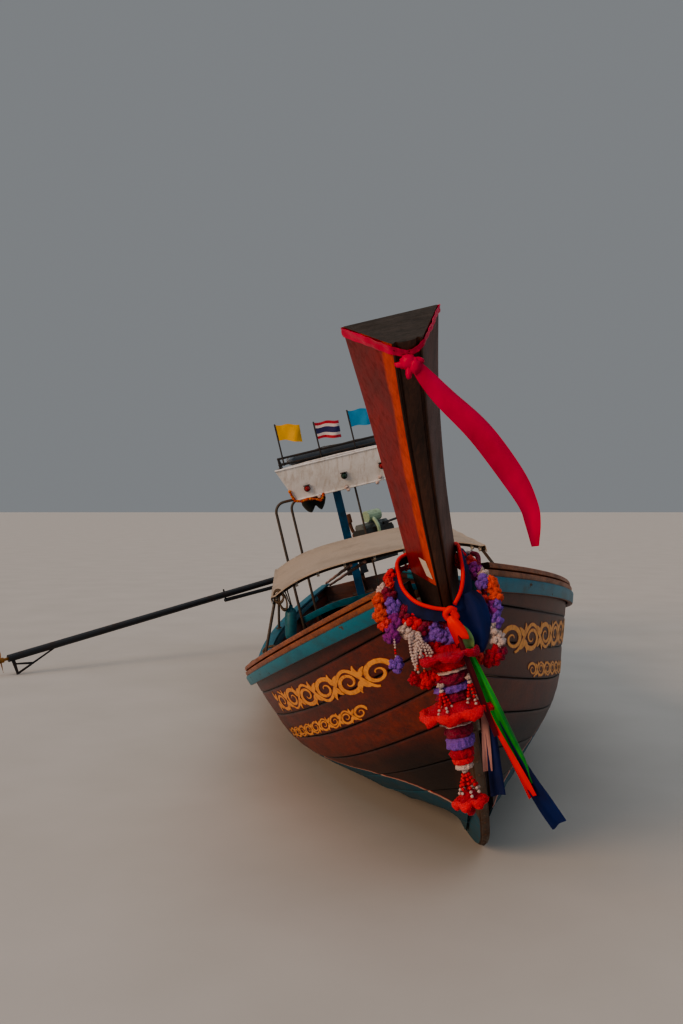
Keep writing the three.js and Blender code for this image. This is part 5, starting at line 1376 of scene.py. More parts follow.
# Columns: name, finish, folds, waves, points of the strip as s, b, z, width.
SASH_STRIPS = [
    ("orange_knot_end", orange_cloth, 0.14, 1.0, [
        (-1.160, 0.012, 1.330, 0.034), (-1.172, 0.008, 1.300, 0.052), (-1.176, -0.002, 1.262, 0.062),
        (-1.174, -0.006, 1.236, 0.060), (-1.170, -0.008, 1.226, 0.052)]),
    ("navy_drape", navy_cloth, 0.10, 1.5, [
        (-1.100, -0.080, 1.395, 0.070), (-1.112, -0.088, 1.350, 0.110), (-1.120, -0.086, 1.290, 0.124),
        (-1.122, -0.076, 1.230, 0.112), (-1.118, -0.064, 1.180, 0.080), (-1.114, -0.052, 1.158, 0.040)]),
    ("light_green_end", pale_green, 0.10, 1.0, [
        (-1.134, -0.010, 1.290, 0.020), (-1.138, -0.030, 1.250, 0.040), (-1.138, -0.036, 1.215, 0.046),
        (-1.136, -0.036, 1.185, 0.030)]),
    ("maroon_ribbon", maroon_cloth, 0.10, 1.0, [
        (-1.160, 0.006, 1.280, 0.020), (-1.176, -0.004, 1.190, 0.022), (-1.182, -0.016, 1.090, 0.024),
        (-1.182, -0.032, 0.960, 0.023), (-1.178, -0.050, 0.830, 0.018)]),
    ("green_ribbon", green_satin, 0.16, 1.5, [
        (-1.142, -0.026, 1.190, 0.022), (-1.150, -0.036, 1.120, 0.034), (-1.160, -0.066, 0.970, 0.046),
        (-1.166, -0.094, 0.830, 0.050), (-1.166, -0.122, 0.700, 0.044), (-1.164, -0.136, 0.610, 0.026)]),
    ("orange_trailing_edge", orange_cloth, 0.12, 0.8, [
        (-1.170, -0.030, 1.010, 0.010), (-1.172, -0.050, 0.890, 0.016), (-1.174, -0.084, 0.760, 0.022),
        (-1.174, -0.116, 0.640, 0.030), (-1.172, -0.134, 0.560, 0.034)]),
    ("pale_strip", pale_cloth, 0.08, 1.0, [
        (-1.130, -0.034, 0.960, 0.020), (-1.134, -0.024, 0.880, 0.030), (-1.134, -0.006, 0.780, 0.036),
        (-1.130, 0.010, 0.690, 0.038)]),
    ("navy_end_long", navy_cloth, 0.10, 1.2, [
        (-1.122, -0.050, 1.050, 0.030), (-1.128, -0.048, 0.930, 0.040), (-1.132, -0.034, 0.800, 0.048),
        (-1.130, -0.018, 0.680, 0.056), (-1.126, -0.008, 0.585, 0.060)]),
    ("navy_end_trailing", navy_cloth, 0.10, 1.2, [
        (-1.150, -0.060, 0.960, 0.026), (-1.160, -0.096, 0.800, 0.034), (-1.166, -0.132, 0.650, 0.052),
        (-1.166, -0.176, 0.520, 0.066), (-1.164, -0.212, 0.425, 0.066)]),
]
for name, finish, folds, waves, points in SASH_STRIPS:
    strip = Work(name)
    length = cloth_strip(strip, points, folds=folds, waves=waves, sway=0.6, across=13)
    takes_place_of = ["bow_sashes"] if name == SASH_STRIPS[0][0] else ()
    piece = strip.done([finish], slot="sash_cloth", crease=70, replaces=takes_place_of)


# Front canopy: a low frame of galvanised pipe, two bent hoops on four legs with three stringers, and one
# cream cloth stretched over it, hemmed at the outer pipes and tied with cord.
pipe_paint = iron_finish("weathered_pipe", rgb(70, 66, 60), rgb(96, 58, 36), 0.75, roughness=0.45, size=14.0)
CANOPY_HALF = 0.900
PIPE = 0.013
# Columns: station, height at the edge, rise in the middle, station of the legs' feet.
HOOPS = [(3.400, 1.200, 0.138, 3.330), (5.200, 1.310, 0.132, 5.260)]


def arch(hoop, b):
    return hoop[1] + hoop[2] * (1 - abs(b / CANOPY_HALF) ** 3.4)


@functools.lru_cache(maxsize=None)
def sheer_near(station):
    t = (station - SEAM_LINES[TOP][0]) / (SEAM_LINES[TOP][9] - SEAM_LINES[TOP][0])
    return tuple(float(x) for x in skin(t, TOP))


pipes = Work("front_canopy_pipes")
for hoop in HOOPS:
    bow = [CANOPY_HALF * sin(i * pi / 48) for i in range(-24, 25)]
    pipes.bar([aboard(hoop[0], b, arch(hoop, b)) for b in bow], PIPE, sides=12)
    rail = sheer_near(hoop[3])
    for hand in BOTH_SIDES:
        foot = (hoop[3], hand * (rail[1] + 0.030 - 0.090), rail[2] + 0.038)
        head = (hoop[0], hand * CANOPY_HALF, hoop[1] + 0.004)
        pipes.rod([foot, head], PIPE, sides=12)
        pipes.rod([foot, (foot[0], foot[1], foot[2] + 0.012)], 0.030, sides=14)
        pipes.knob(head, PIPE * 1.45, rows=8, around=12)
for b in (-CANOPY_HALF, 0, CANOPY_HALF):
    pipes.bar([aboard(h[0], b, arch(h, b)) for h in HOOPS], PIPE - 0.001, sides=12)
pipes.done([pipe_paint], slot="steel_pipe", replaces=["front_canopy_frame"], crease=40)

# Two long peeled poles lie stowed under the canopies, from the front hoop to the starboard quarter. They
# are loose gear and can be lifted out.
pole_timber = timber_finish("peeled_poles", rgb(176, 134, 122), rgb(112, 78, 66), (20, 20, 3), roughness=0.6,
                            dirt=0.4)
POLE = 0.015
# Columns: half width and height where the pole starts under the front hoop, the same at the quarter.
POLE_ENDS = [(0.214, 1.318, 0.447, 0.822), (0.092, 1.318, 0.400, 0.787)]
poles = Work("stowed_poles")
for head_b, head_z, foot_b, foot_z in POLE_ENDS:
    head, foot = (HOOPS[0][0] - 0.020, head_b, head_z), (8.440, foot_b, foot_z)
    run = []
    for i in range(17):
        share = i / 16
        knot = 0.0015 * sin(9.0 * share * pi)
        s, b, z = [start + (end - start) * share for start, end in zip(head, foot)]
        run.append((s, b + knot, z + knot))
    poles.rod(run, POLE, sides=12)
poles.done([pole_timber], slot="rail_timber", crease=60)

weave, effect = new_group("weave", [("Place", "Vector", None), ("Threads", "Float", 300.0)],
                          [("Height", "Float")])
warp, weft = [
    effect.pattern("Wave", effect.inputs["Place"], way, Scale=effect.inputs["Threads"]) for way in "XY"]
effect.feed(effect.maths("ADD", warp, weft), effect.results["Height"])


def canvas_finish(name, clean, dirt, roughness=0.85, threads=260.0, amount=0.6, size=2.0):
    """Coarse woven cloth with damp stains and dust."""
    finish = Finish(name, Roughness=roughness, Sheen_Weight=0.15)
    stained = finish.soil(clean, dirt, size, amount, (1, 0.7, 1))
    finish.color(stained["Color"])
    threads_here = finish.group(weave, finish.place((1, 1, 1), (0, -HEEL, 0)), Threads=threads)
    wrinkle = finish.pattern("Noise", finish.place((2.5, 0.7, 1)), Scale=5.0, Detail=5.0)
    finish.relief(finish.maths("ADD", finish.maths("MULTIPLY", threads_here["Height"], 0.06), wrinkle), 0.006,
                  0.6)
    return finish


cream_cloth = canvas_finish("cream_canopy_cloth", rgb(168, 152, 134), rgb(112, 98, 82))
canopy = Work("front_canopy_sheet")
CLOTH_THICK = 0.0035
EDGE = CANOPY_HALF + 0.034


def canopy_height(share_aft, b):
    """Height of the cloth: over the hoops it lies on the pipe, between them it sags a little."""
    inner = max(-CANOPY_HALF, min(CANOPY_HALF, b))
    one, two = (arch(h, inner) for h in HOOPS)
    height = one + (two - one) * share_aft + PIPE + 0.010
    between = sin(pi * min(1, max(0, share_aft)))
    quilt = abs(sin(pi * b / CANOPY_HALF))
    return height - 0.022 * between * quilt - 0.004 * sin(3.1 * share_aft * 6 + b * 7) * between


rings = []
ACROSS, AFT = 64, 60
# How far the cloth reaches past each hoop, how it hangs over the side pipes, and how close its waves lie.
OVERHANG, SIDE_OUT, SIDE_DROPS, WAVE_PACE = 0.058, 0.005, (0.036, 0.015, -0.008), 1.05


def across_cloth(k):
    return EDGE * sin((k / ACROSS - 0.5) * pi)


for i in range(AFT + 1):
    between_hoops = HOOPS[1][0] - HOOPS[0][0]
    station = HOOPS[0][0] - OVERHANG + (between_hoops + 2 * OVERHANG) * i / AFT
    share_aft = (station - HOOPS[0][0]) / between_hoops
    edge_height = HOOPS[0][1] + (HOOPS[1][1] - HOOPS[0][1]) * share_aft
    side = [edge_height - drop - 0.004 * cos(i * WAVE_PACE) for drop in SIDE_DROPS]
    top = [(station, -EDGE - SIDE_OUT, z) for z in side]
    for k in range(ACROSS + 1):
        b = across_cloth(k)
        scallop = 0.003 * (1 - cos(i * WAVE_PACE)) if k in (0, ACROSS) else 0
        top.append((station, b, canopy_height(share_aft, b) - scallop))
    top += [(station, EDGE + SIDE_OUT, z) for z in side[::-1]]
    under = [(s, b * 0.997, z - CLOTH_THICK) for s, b, z in top[::-1]]
    rings.append([aboard(*p) for p in top + under])
canopy.loft(rings)
# The front and back hems turn down before their pipes and leave them to be seen from below.
TURN_DOWN, HEM_BEFORE, HEM_REACH, HEM_THICK = 0.34 * pi, 0.044, 0.0215, 0.003
for hoop, way in ((HOOPS[0], -1), (HOOPS[1], 1)):
    rows = []
    for turn in range(7):
        angle = pi / 2 - way * TURN_DOWN * turn / 6
        row = []
        for k in range(ACROSS + 1):
            b = across_cloth(k)
            inner = max(-CANOPY_HALF, min(CANOPY_HALF, b))
            station = hoop[0] + way * (HEM_BEFORE + HEM_REACH * abs(cos(angle)))
            row.append(aboard(station, b, arch(hoop, inner) + 0.002 + HEM_REACH * sin(angle)))
        rows.append(row)
    lower = [[p + boat_direction(-way * HEM_THICK, 0, 0) for p in row] for row in rows[::-1]]
    canopy.grid(rows + lower, round_rows=True)
canopy_piece = canopy.done([cream_cloth], slot="canopy_cloth", replaces=["front_canopy_cloth"], crease=50)

rope_fibre = Finish("laid_rope", Roughness=0.9)
twist = rope_fibre.pattern("Wave", rope_fibre.place(), "DIAGONAL", Scale=60.0, Distortion=1.5)
old_rope = rope_fibre.soil(rgb(142, 124, 102), rgb(70, 58, 46), 22.0, 0.9)
# Painted shade: the rope is darker in the grooves between its strands.
rope_fibre.color(rope_fibre.mix(rope_fibre.between(twist, 0.2, 0.8), rgb(66, 54, 42), old_rope["Color"]))
rope_fibre.relief(twist, 0.003, 0.8)

tie_cord = canvas_finish("white_tie_cord", rgb(206, 200, 188), rgb(150, 140, 124), threads=420.0, size=20.0)
ties = Work("canopy_ties")
for hoop in HOOPS:
    for k in range(11):
        b = CANOPY_HALF * sin((k / 10 - 0.5) * pi * 0.94)
        centre = (hoop[0], b, arch(hoop, b) - 0.004)
        for turn_on in (-0.006, 0.003, 0.011):
            loop = []
            for angle in once_round(14):
                loop.append(aboard(centre[0] + 0.023 * cos(angle), centre[1] + turn_on,
                                   centre[2] + 0.027 * sin(angle)))
            ties.bar(loop, 0.0032, sides=6, closed=True)
        ties.knob((centre[0] - 0.024, b, centre[2] - 0.012), 0.009, rows=6, around=8, lumps=0.4)
ties.done([tie_cord], slot="deck_rope", crease=80)


# Fender and spare rope: a moulded blue-green fender hangs by its eye from the front hoop's starboard corner,
# beside a hank of old rope turned round the pipe and a dark coil laid on the rail.
fender_skin = paint_finish("fender_vinyl", rgb(34, 104, 118), rgb(24, 58, 66), 14.0, 0.8, (1, 1, 2),
                           relief=0.001)
fender = Work("bow_fender")
FENDER_EYE, FENDER_END = (3.450, 0.790, 1.105), (3.450, 0.866, 0.792)
# Columns: share of the length, radius.
FENDER_SHAPE = [
    (0, 0.010), (0.02, 0.016), (0.07, 0.017), (0.10, 0.030), (0.15, 0.044), (0.22, 0.050), (0.50, 0.052),
    (0.78, 0.050), (0.86, 0.044), (0.92, 0.030), (0.95, 0.017), (0.99, 0.016), (1, 0.010),
]
spine = [[a + (b - a) * share for a, b in zip(FENDER_EYE, FENDER_END)] for share, radius in FENDER_SHAPE]
fender.rod(spine, [radius for share, radius in FENDER_SHAPE], sides=20)
# Two leads of cord run from the pipe to its eye.
PIPE_STATION, PIPE_B = 3.400, 0.800
pipe_z = arch(HOOPS[0], PIPE_B)
for lead in (-0.010, 0.010):
    fender.rod([(PIPE_STATION, PIPE_B + lead * 1.4, pipe_z + PIPE),
                (PIPE_STATION + 0.018, PIPE_B + lead, pipe_z - 0.020),
                (FENDER_EYE[0], FENDER_EYE[1] + lead * 0.4, FENDER_EYE[2] - 0.006)], 0.005, sides=8, finish=1)
fender.done([fender_skin, rope_fibre], slot="deck_rope", crease=50)

spare = Work("spare_rope")
# Columns: middle of the hank, its two half lengths across, how many turns, thickness of the rope.
HANKS = [((3.385, 0.872, 1.205), 0.040, 0.055, 9, 0.007), ((3.385, 0.845, 1.150), 0.030, 0.070, 6, 0.006),
         ((3.440, 1.050, 0.775), 0.060, 0.028, 8, 0.008)]
for (s, b, z), wide, tall, turns, thick in HANKS:
    for k in range(turns):
        lean = 0.5 * sin(2.4 * k)
        loop = []
        for angle in once_round(18):
            across = wide * (1 + 0.14 * sin(3.1 * k)) * cos(angle)
            up = tall * (1 + 0.12 * cos(2.7 * k)) * sin(angle)
            loop.append(aboard(s + 0.020 * sin(1.7 * k) + 0.3 * lean * across,
                               b + across + 0.12 * lean * up, z + up))
        spare.bar(loop, thick, sides=7, closed=True)
spare.done([rope_fibre], slot="deck_rope", crease=80)

# Cross beam: one sawn timber, cambered like a deck beam and painted as the rails are, bolted aft of the
# rear canopy's front legs.
beam = Work("canopy_cross_beam")
BEAM_FROM, BEAM_TO, BEAM_HALF, BEAM_TALL, BEAM_CROWN = 5.8652, 5.892, 0.812, 0.070, 0.808
rings = []
for i in range(41):
    b = BEAM_HALF * (i / 20 - 1)
    top = BEAM_CROWN - 0.088 * (max(0.0, abs(b) - 0.30) / 0.49) ** 1.6
    corners = [(BEAM_FROM, top), (BEAM_TO, top), (BEAM_TO, top - BEAM_TALL), (BEAM_FROM, top - BEAM_TALL)]
    rings.append([aboard(s, b, z) for s, z in eased(corners, 0.004)])
beam.loft(rings)
beam.done([teal], slot="rail_paint", crease=40)


# Rear canopy: two high hoops of bent pipe on the thwarts, side rails and a rim under a white roof, with a
# sloped white front board that carries three lamps, a black rack above and marigold strings below.
REAR_EAVES, REAR_ROOF = 2.000, 2.330
REAR_FROM, REAR_TO = 5.620, 7.000
# Columns: station, half width, height of the thwart it stands on.
REAR_HOOPS = [(5.850, 0.800, 0.500), (6.720, 0.640, 0.520)]
# Radius of the hoops and of the thinner pipes, the bend at the eaves, then the rim under the roof.
HOOP_PIPE, THIN_PIPE, BEND = 0.015, 0.011, 0.110
RIM_Z, RIM_HALF, RIM_FROM, RIM_TO = REAR_ROOF - 0.012, 0.660, REAR_FROM + 0.040, REAR_TO - 0.040
frame_pipes = Work("rear_canopy_pipes")
for station, half, thwart in REAR_HOOPS:
    for hand in BOTH_SIDES:
        foot = (station, hand * half, thwart + 0.0004)
        leg = [foot]
        for k in range(11):
            angle = k * pi / 20
            leg.append((station, hand * (half - BEND * (1 - cos(angle))),
                        REAR_EAVES - BEND * (1 - sin(angle))))
        leg.append((station, 0, REAR_EAVES))
        frame_pipes.rod(leg, HOOP_PIPE, sides=12)
        frame_pipes.rod([foot, (station, hand * half, thwart + 0.008)], 0.045, sides=16)
        frame_pipes.rod([(station, hand * 0.560, REAR_EAVES), (station, hand * RIM_HALF, RIM_Z)], THIN_PIPE)
for hand in BOTH_SIDES:
    frame_pipes.rod([(hoop[0], hand * 0.500, REAR_EAVES) for hoop in REAR_HOOPS], THIN_PIPE)
    frame_pipes.rod([(RIM_FROM, hand * RIM_HALF, RIM_Z), (RIM_TO, hand * RIM_HALF, RIM_Z)], THIN_PIPE)
for station in (RIM_FROM, RIM_TO):
    frame_pipes.rod([(station, -0.664, RIM_Z), (station, 0.664, RIM_Z)], THIN_PIPE)
# One thin post stands between thwart and hoop, a little to port of the middle.
frame_pipes.rod([(REAR_HOOPS[0][0], -0.105, 0.5004), (REAR_HOOPS[0][0], -0.105, REAR_EAVES)], THIN_PIPE)
frame_pipes.done([pipe_paint], slot="steel_pipe", replaces=["rear_canopy_frame"], crease=40)

white_board = Finish("white_board_paint", Roughness=0.5)
chalk = white_board.soil(rgb(226, 230, 234), rgb(180, 178, 170), 3.2, 0.6)
drips = white_board.soil(chalk["Color"], rgb(156, 138, 118), 3.0, 0.5, (9, 9, 0.8))
white_board.color(drips["Color"])
white_board.roughness(white_board.between(drips["Mask"], 0, 0.4, 0.45, 0.8))
white_board.relief(drips["Mask"], 0.001, 0.4)
wear(["rear_canopy_roof"], white_board)

board = Work("rear_front_board")
# The board bends a little two thirds of the way down. Columns: height, station of its face, half width.
BOARD_ROWS = [(2.336, 5.596, 0.700), (2.322, 5.600, 0.696), (2.092, 5.664, 0.604), (2.086, 5.667, 0.601),
              (2.000, 5.697, 0.566), (1.985, 5.700, 0.560)]
face, back = [], []
for z, station, half in BOARD_ROWS:
    face.append([aboard(station, half * u, z) for u in (1, 0.992, 0.5, 0, -0.5, -0.992, -1)])
    back.append([aboard(station + 0.014, half * u, z) for u in (1, 0.992, 0.5, 0, -0.5, -0.992, -1)])
board.grid(face + back[::-1], round_rows=True)
board.add([row[0] for row in face] + [row[0] for row in back],
          [(i, i + 1, i + 7, i + 6) for i in range(5)])
board.add([row[-1] for row in face] + [row[-1] for row in back],
          [(i, i + 6, i + 7, i + 1) for i in range(5)])
# A half-round trim runs along its top and foot.
for z, station, half in (BOARD_ROWS[0], BOARD_ROWS[-1]):
    board.rod([(station - 0.002, -half - 0.004, z), (station - 0.002, half + 0.004, z)], 0.009)
board.done([white_board], slot="white_board", replaces=["rear_canopy_front_board"], crease=25)


def lens_finish(name, bright, dark):
    """A moulded lamp glass, ribbed and a little dusty."""
    finish = Finish(name, Roughness=0.25, Coat_Weight=0.5, Coat_Roughness=0.1)
    dusty = finish.soil(bright, dark, 40.0, 0.8)
    finish.color(dusty["Color"])
    finish.relief(finish.pattern("Wave", finish.place(), "Z", Scale=55.0), 0.001, 0.5)
    return finish


red_glass = lens_finish("red_lamp_glass", rgb(150, 20, 24), rgb(84, 14, 16))
green_glass = lens_finish("dark_green_lamp_glass", rgb(16, 58, 48), rgb(10, 32, 28))
lamp_black = iron_finish("lamp_black", rgb(34, 34, 36), rgb(66, 48, 38), 0.5)
lamps = Work("board_lamps")
RED, GREEN, BLACK = range(3)
(top, top_station), (foot, foot_station) = BOARD_ROWS[0][:2], BOARD_ROWS[-1][:2]
for b, z, glass in ((0.410, 2.080, RED), (-0.010, 2.120, GREEN), (-0.430, 2.130, RED)):
    station = top_station + (top - z) * (foot_station - top_station) / (top - foot)
    # Rim, glass and its rounded front: where each starts and ends before the board, and its radii.
    for near, far, radii, finish in (
            (0.004, -0.012, [0.034, 0.034], BLACK), (-0.012, -0.040, [0.029, 0.026], glass),
            (-0.040, -0.054, [0.026, 0.010], glass)):
        lamps.rod([(station + near, b, z), (station + far, b, z)], radii, sides=20, finish=finish)
    lamps.box((station - 0.052, b - 0.036, z + 0.030), (station + 0.002, b + 0.036, z + 0.038), bevel=0.002,
              finish=BLACK)
lamps.done([red_glass, green_glass, lamp_black], slot="white_board", crease=40)

# Marigold heads threaded on cotton are pinned along the board's foot, with a few white blossoms.
MARIGOLD = (rgb(255, 150, 24), rgb(240, 108, 18), rgb(214, 84, 20))
MARIGOLD_LINE = [(5.646, 0.600, 2.092), (5.667, 0.588, 2.032), (5.682, 0.566, 1.982), (5.688, 0.500, 1.958),
                 (5.686, 0.430, 1.970), (5.688, 0.350, 1.952), (5.690, 0.296, 1.925), (5.686, 0.258, 1.966),
                 (5.676, 0.250, 2.004)]
BLOSSOMS = [(5.682, 0.300, 1.968), (5.680, -0.005, 1.996), (5.684, -0.022, 1.966), (5.672, -0.385, 2.018),
            (5.684, -0.345, 1.966)]
marigolds = Work("board_marigolds")
MARIGOLD_APART = 0.024
count = 0
for a, b in zip(MARIGOLD_LINE, MARIGOLD_LINE[1:]):
    heads = max(1, round(dist(a, b) / MARIGOLD_APART))
    for k in range(heads):
        spot = [p + (q - p) * k / heads for p, q in zip(a, b)]
        marigolds.knob(spot, 0.0155 + 0.002 * sin(5.3 * count), rows=8, around=12, stretch=(1, 1, 0.85),
                       lumps=0.55, rough=5.0, yarn=MARIGOLD[count % 3])
        count += 1
for spot in BLOSSOMS:
    marigolds.knob(spot, 0.020, rows=8, around=12, lumps=0.6, rough=4.4, yarn=YARN["white"])
marigolds.done([yarn], slot="yarn_flowers", crease=80)

rack = Work("roof_rack_pipes")
RACK_LOW, RACK_HIGH, RACK_HALF, RACK_FROM, RACK_TO = 2.392, 2.458, 0.640, 5.640, 6.900
RACK_CORNERS = [(RACK_FROM, -RACK_HALF), (RACK_FROM, RACK_HALF), (RACK_TO, RACK_HALF), (RACK_TO, -RACK_HALF)]
for z in (RACK_LOW, RACK_HIGH):
    for (s0, b0), (s1, b1) in zip(RACK_CORNERS, RACK_CORNERS[1:] + RACK_CORNERS[:1]):
        rack.rod([(s0, b0, z), (s1, b1, z)], 0.012)
        rack.knob((s0, b0, z), 0.0135, rows=6, around=10)
for station in (RACK_FROM, (RACK_FROM + RACK_TO) / 2, RACK_TO):
    for hand in BOTH_SIDES:
        foot = (station, hand * RACK_HALF, REAR_ROOF + 0.0225)
        rack.rod([foot, (station, hand * RACK_HALF, RACK_HIGH)], 0.010)
        rack.rod([foot, (station, hand * RACK_HALF, REAR_ROOF + 0.027)], 0.030, sides=14)
for b in (-0.320, 0, 0.320):
    rack.rod([(RACK_FROM, b, RACK_LOW), (RACK_TO, b, RACK_LOW)], 0.010)
black_pipe = iron_finish("black_pipe_paint", rgb(38, 38, 40), rgb(78, 54, 42), 0.5, roughness=0.45, size=12.0)
rack.done([black_pipe], slot="black_iron", replaces=["roof_rack"], crease=40)
wear(["flag_pole_yellow", "flag_pole_striped", "flag_pole_blue"], black_pipe)

wear(["blue_post"], paint_finish("blue_post_paint", rgb(20, 84, 128), rgb(14, 44, 62), 8.0, 0.9,
                                 roughness=0.35,
                                 relief=0.001))

tarp_cloth = canvas_finish("blue_grey_tarpaulin", rgb(76, 92, 108), rgb(52, 58, 64), roughness=0.55,
                           threads=420.0)
tarp = Work("roof_tarpaulin_roll")
SLAT_TOP, TARP_FROM, TARP_TO = RACK_LOW + 0.0125, RACK_FROM + 0.060, RACK_TO - 0.140
TARP_OUTLINE = [
    (-0.520, 0.0), (0.0, -0.001), (0.520, 0.0), (0.545, 0.014), (0.548, 0.030), (0.520, 0.050),
    (0.430, 0.062), (0.300, 0.058), (0.120, 0.074), (-0.080, 0.064), (-0.260, 0.068), (-0.400, 0.054),
    (-0.500, 0.056), (-0.538, 0.044), (-0.540, 0.024),
]
rings = []
for i in range(49):
    share = i / 48
    station = TARP_FROM + (TARP_TO - TARP_FROM) * share
    close = 1 - 0.10 * (abs(2 * share - 1)) ** 6
    ring_here = []
    for b, z in TARP_OUTLINE:
        swell = 0.16 * noise.noise(Vector((station * 5, b * 7, 2.0))) if z > 0.01 else 0
        ring_here.append(aboard(station, b * close, SLAT_TOP + z * close * (1 + swell)))
    rings.append(ring_here)
tarp.loft(rings)
# Two cords hold the folded tarpaulin to the slats.
for station in (5.950, 6.450):
    loop = [(station, b * 1.012, SLAT_TOP + z * 1.16 + 0.004) for b, z in TARP_OUTLINE[2:]]
    tarp.rod(loop, 0.004, sides=6, finish=1)
tarp_piece = tarp.done([tarp_cloth, rope_fibre], slot="tarpaulin", replaces=["roof_tarpaulin"], crease=60)


# Flags: light cloth on thin poles along the rack's front bar, hoist edge sewn round the pole, blown to
# port: one plain yellow, one of five stripes, one plain light blue.
def flag_finish(name, clean, dirt):
    return canvas_finish(name, clean, dirt, roughness=0.75, threads=520.0, amount=0.4, size=6.0)


yellow_cloth = flag_finish("yellow_flag_cloth", rgb(226, 176, 44), rgb(170, 122, 30))
blue_cloth = flag_finish("light_blue_flag_cloth", rgb(30, 138, 190), rgb(20, 98, 140))
stripe_red = flag_finish("red_stripe_cloth", rgb(176, 32, 54), rgb(120, 22, 40))
stripe_white = flag_finish("white_stripe_cloth", rgb(206, 202, 206), rgb(150, 146, 150))
stripe_blue = flag_finish("blue_stripe_cloth", rgb(34, 40, 98), rgb(22, 26, 66))
FLAG_STATION, FLAG_COLUMNS = RACK_FROM - 0.0205, 32
# Columns: name, b of the pole, top of the pole, fly, hoist, droop, bands as (share of the hoist, finish).
FLAGS = [
    ("yellow", 0.590, 2.830, 0.250, 0.165, 0.05, [(1.0, 0)], [yellow_cloth], "yellow_flag_cloth"),
    ("striped", 0.180, 2.760, 0.260, 0.175, 0.03,
     [(1 / 6, 0), (1 / 6, 1), (2 / 6, 2), (1 / 6, 1), (1 / 6, 0)], [stripe_red, stripe_white, stripe_blue],
     "striped_flag_cloth"),
    ("blue", -0.200, 2.800, 0.250, 0.170, 0.02, [(1.0, 0)], [blue_cloth], "blue_flag_cloth"),
]
for name, b_pole, top, fly, hoist, droop, bands, cloths, slot in FLAGS:
    flag = Work(f"{name}_flag")
    rows, finish_rows = [], []
    down = 0.0
    for share, finish in bands:
        rows_here = max(2, int(12 * share))
        for j in range(rows_here + (1 if down + share > 0.999 else 0)):
            v = down + share * j / rows_here
            row = []
            for i in range(FLAG_COLUMNS + 1):
                u = i / FLAG_COLUMNS
                s = FLAG_STATION + 0.020 * sin(u * 6.4) * u ** 0.5 + 0.008 * sin(u * 11 + v * 4) * u
                fall = droop * u ** 1.3 * (1 + 0.6 * v) + 0.006 * sin(u * 9 + v * 2)
                row.append(aboard(s, b_pole - 0.0085 - fly * u * (1 - 0.04 * v),
                                  top - 0.012 - hoist * v - fall))
            rows.append(row)
            finish_rows.append(finish)
        down += share
    flag.cloth(rows, boat_direction(0.0012, 0, 0), lambda row: finish_rows[row])
    piece = flag.done(cloths, slot=slot, replaces=[f"flag_{name}"], crease=70)


# Hung bundle: a coil of dark rope and a folded net tied up under the forward hoop.
net_cloth = canvas_finish("dark_net", rgb(34, 42, 40), rgb(16, 20, 20), roughness=0.9, threads=120.0)
bundle = Work("hung_bundle_net")
rings = []
BUNDLE_ROWS = [(0.235, 0.018), (0.262, 0.044), (0.300, 0.062), (0.335, 0.054), (0.362, 0.040), (0.390, 0.054),
               (0.420, 0.066), (0.465, 0.056), (0.505, 0.026)]
for b, r in smooth_line(BUNDLE_ROWS, 4):
    ring_here = []
    for angle in once_round(28):
        reach = r * (1 + 0.16 * noise.noise(Vector((cos(angle) * 2.4, sin(angle) * 2.4, b * 22))))
        ring_here.append(aboard(REAR_HOOPS[0][0] + reach * 0.8 * cos(angle), b,
                                REAR_EAVES - 0.0155 - r * 1.25 + reach * 1.25 * sin(angle)))
    rings.append(ring_here)
bundle.loft(rings)
bundle_piece = bundle.done([net_cloth], slot="tarpaulin", replaces=["hung_bundle"], crease=80)


# Lashing: turns of old laid rope made fast round the starboard rails, over the cap rail and under the
# rub rail.
lashing = Work("rail_lashing")
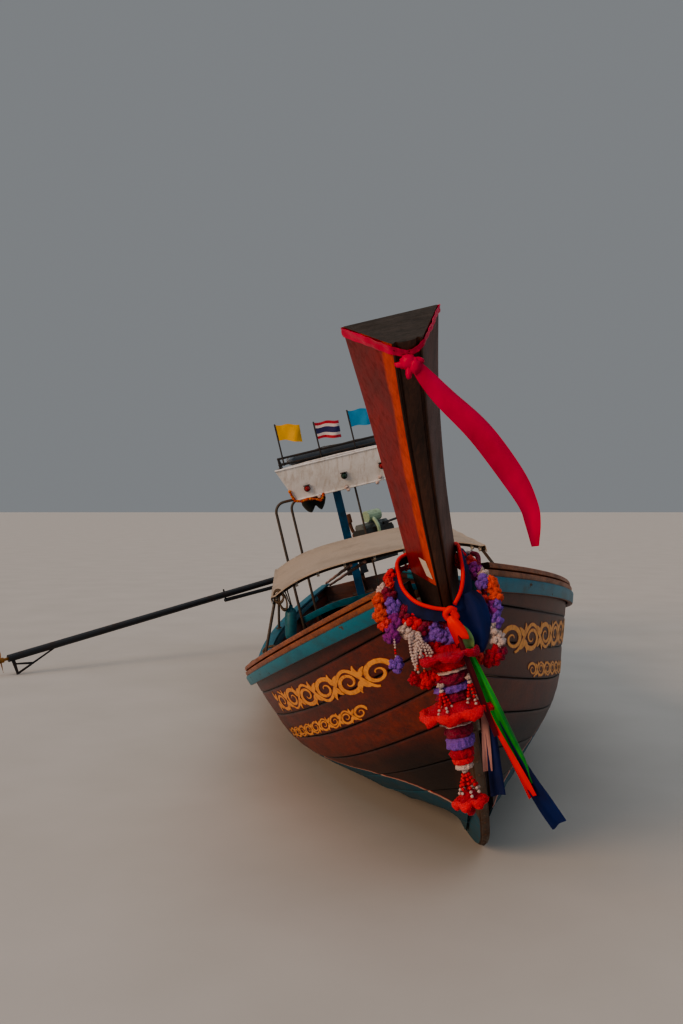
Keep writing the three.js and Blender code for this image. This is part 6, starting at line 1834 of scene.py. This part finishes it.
# The first turn, the step to the next and the knot are shares of the sheer's length from the bow.
TURNS, FIRST_TURN, TURNS_APART, KNOT_AT, LASHING_ROPE = 5, 0.4265, 0.0023, 0.4310, 0.0085
for turn_here in range(TURNS):
    t = FIRST_TURN + TURNS_APART * turn_here
    wobble = 0.004 * sin(turn_here * 2.1)
    loop = [
        (-0.038, -0.060, True), (-0.040, -0.030, True), (-0.041, 0.000, True), (-0.037, 0.030, True),
        (-0.022, 0.046, True), (0.020, 0.050, False), (0.050, 0.050, False), (0.090, 0.049, False),
        (0.122, 0.050, False), (0.140, 0.046, False)]
    route = []
    for down, out, flat in loop:
        p = sheer_at(t, down, out + wobble, flat)
        route.append(to_side(p, STARBOARD))
    lashing.bar(smooth_line([tuple(p) for p in route], 3), LASHING_ROPE, sides=8)
knot_at = sheer_at(KNOT_AT, 0.130, 0.052, False)
for k in range(5):
    centre = Vector(to_side(knot_at, STARBOARD)) + Vector((0, 0.012 * (k - 2), 0.012 * sin(k * 1.9)))
    hoop_here = []
    for angle in once_round(16):
        hoop_here.append(centre + Vector((
            -0.010 - 0.010 * cos(angle), 0.022 * sin(angle) * cos(k),
            0.024 * sin(angle + k))))
    lashing.bar(hoop_here, LASHING_ROPE, sides=8, closed=True)
lashing.done([rope_fibre], slot="deck_rope", replaces=["rope_lashing"], crease=80)


# Engine and tail: an open four-cylinder engine pinned in a welded fork on the stern post, its long drive
# tube swung round to starboard with a skeg under the end and a two-bladed bronze propeller.
# Columns: metal or paint, soil or rust, how much of it, roughness, size of its patches, how bare the metal
# is, parts.
ENGINE_METALS = [
    ("greasy_engine_iron", rgb(44, 48, 48), rgb(66, 52, 40), 0.9, 0.5, 10.0, 0, ["engine_block"]),
    ("grey_enamel", rgb(96, 104, 104), rgb(54, 48, 42), 0.8, 0.4, 9.0, 0, ["rocker_cover"]),
    ("rusty_exhaust", rgb(92, 62, 46), rgb(126, 66, 38), 0.9, 0.85, 16.0, 0, ["exhaust"]),
    ("pale_green_enamel", rgb(150, 176, 150), rgb(92, 96, 78), 0.7, 0.4, 14.0, 0, ["air_cleaner"]),
    ("dull_alloy", rgb(120, 118, 112), rgb(70, 62, 54), 0.8, 0.45, 18.0, 0.6, ["front_drive"]),
    ("black_iron_paint", rgb(34, 36, 40), rgb(72, 50, 38), 0.55, 0.42, 7.0, 0,
     ["swivel_fork", "tail_tube", "skeg", "tiller"]),
    ("worn_bronze", rgb(150, 104, 54), rgb(70, 84, 62), 0.7, 0.4, 22.0, 0.8, ["propeller"]),
]
for *look, parts in ENGINE_METALS:
    wear(parts, iron_finish(*look))

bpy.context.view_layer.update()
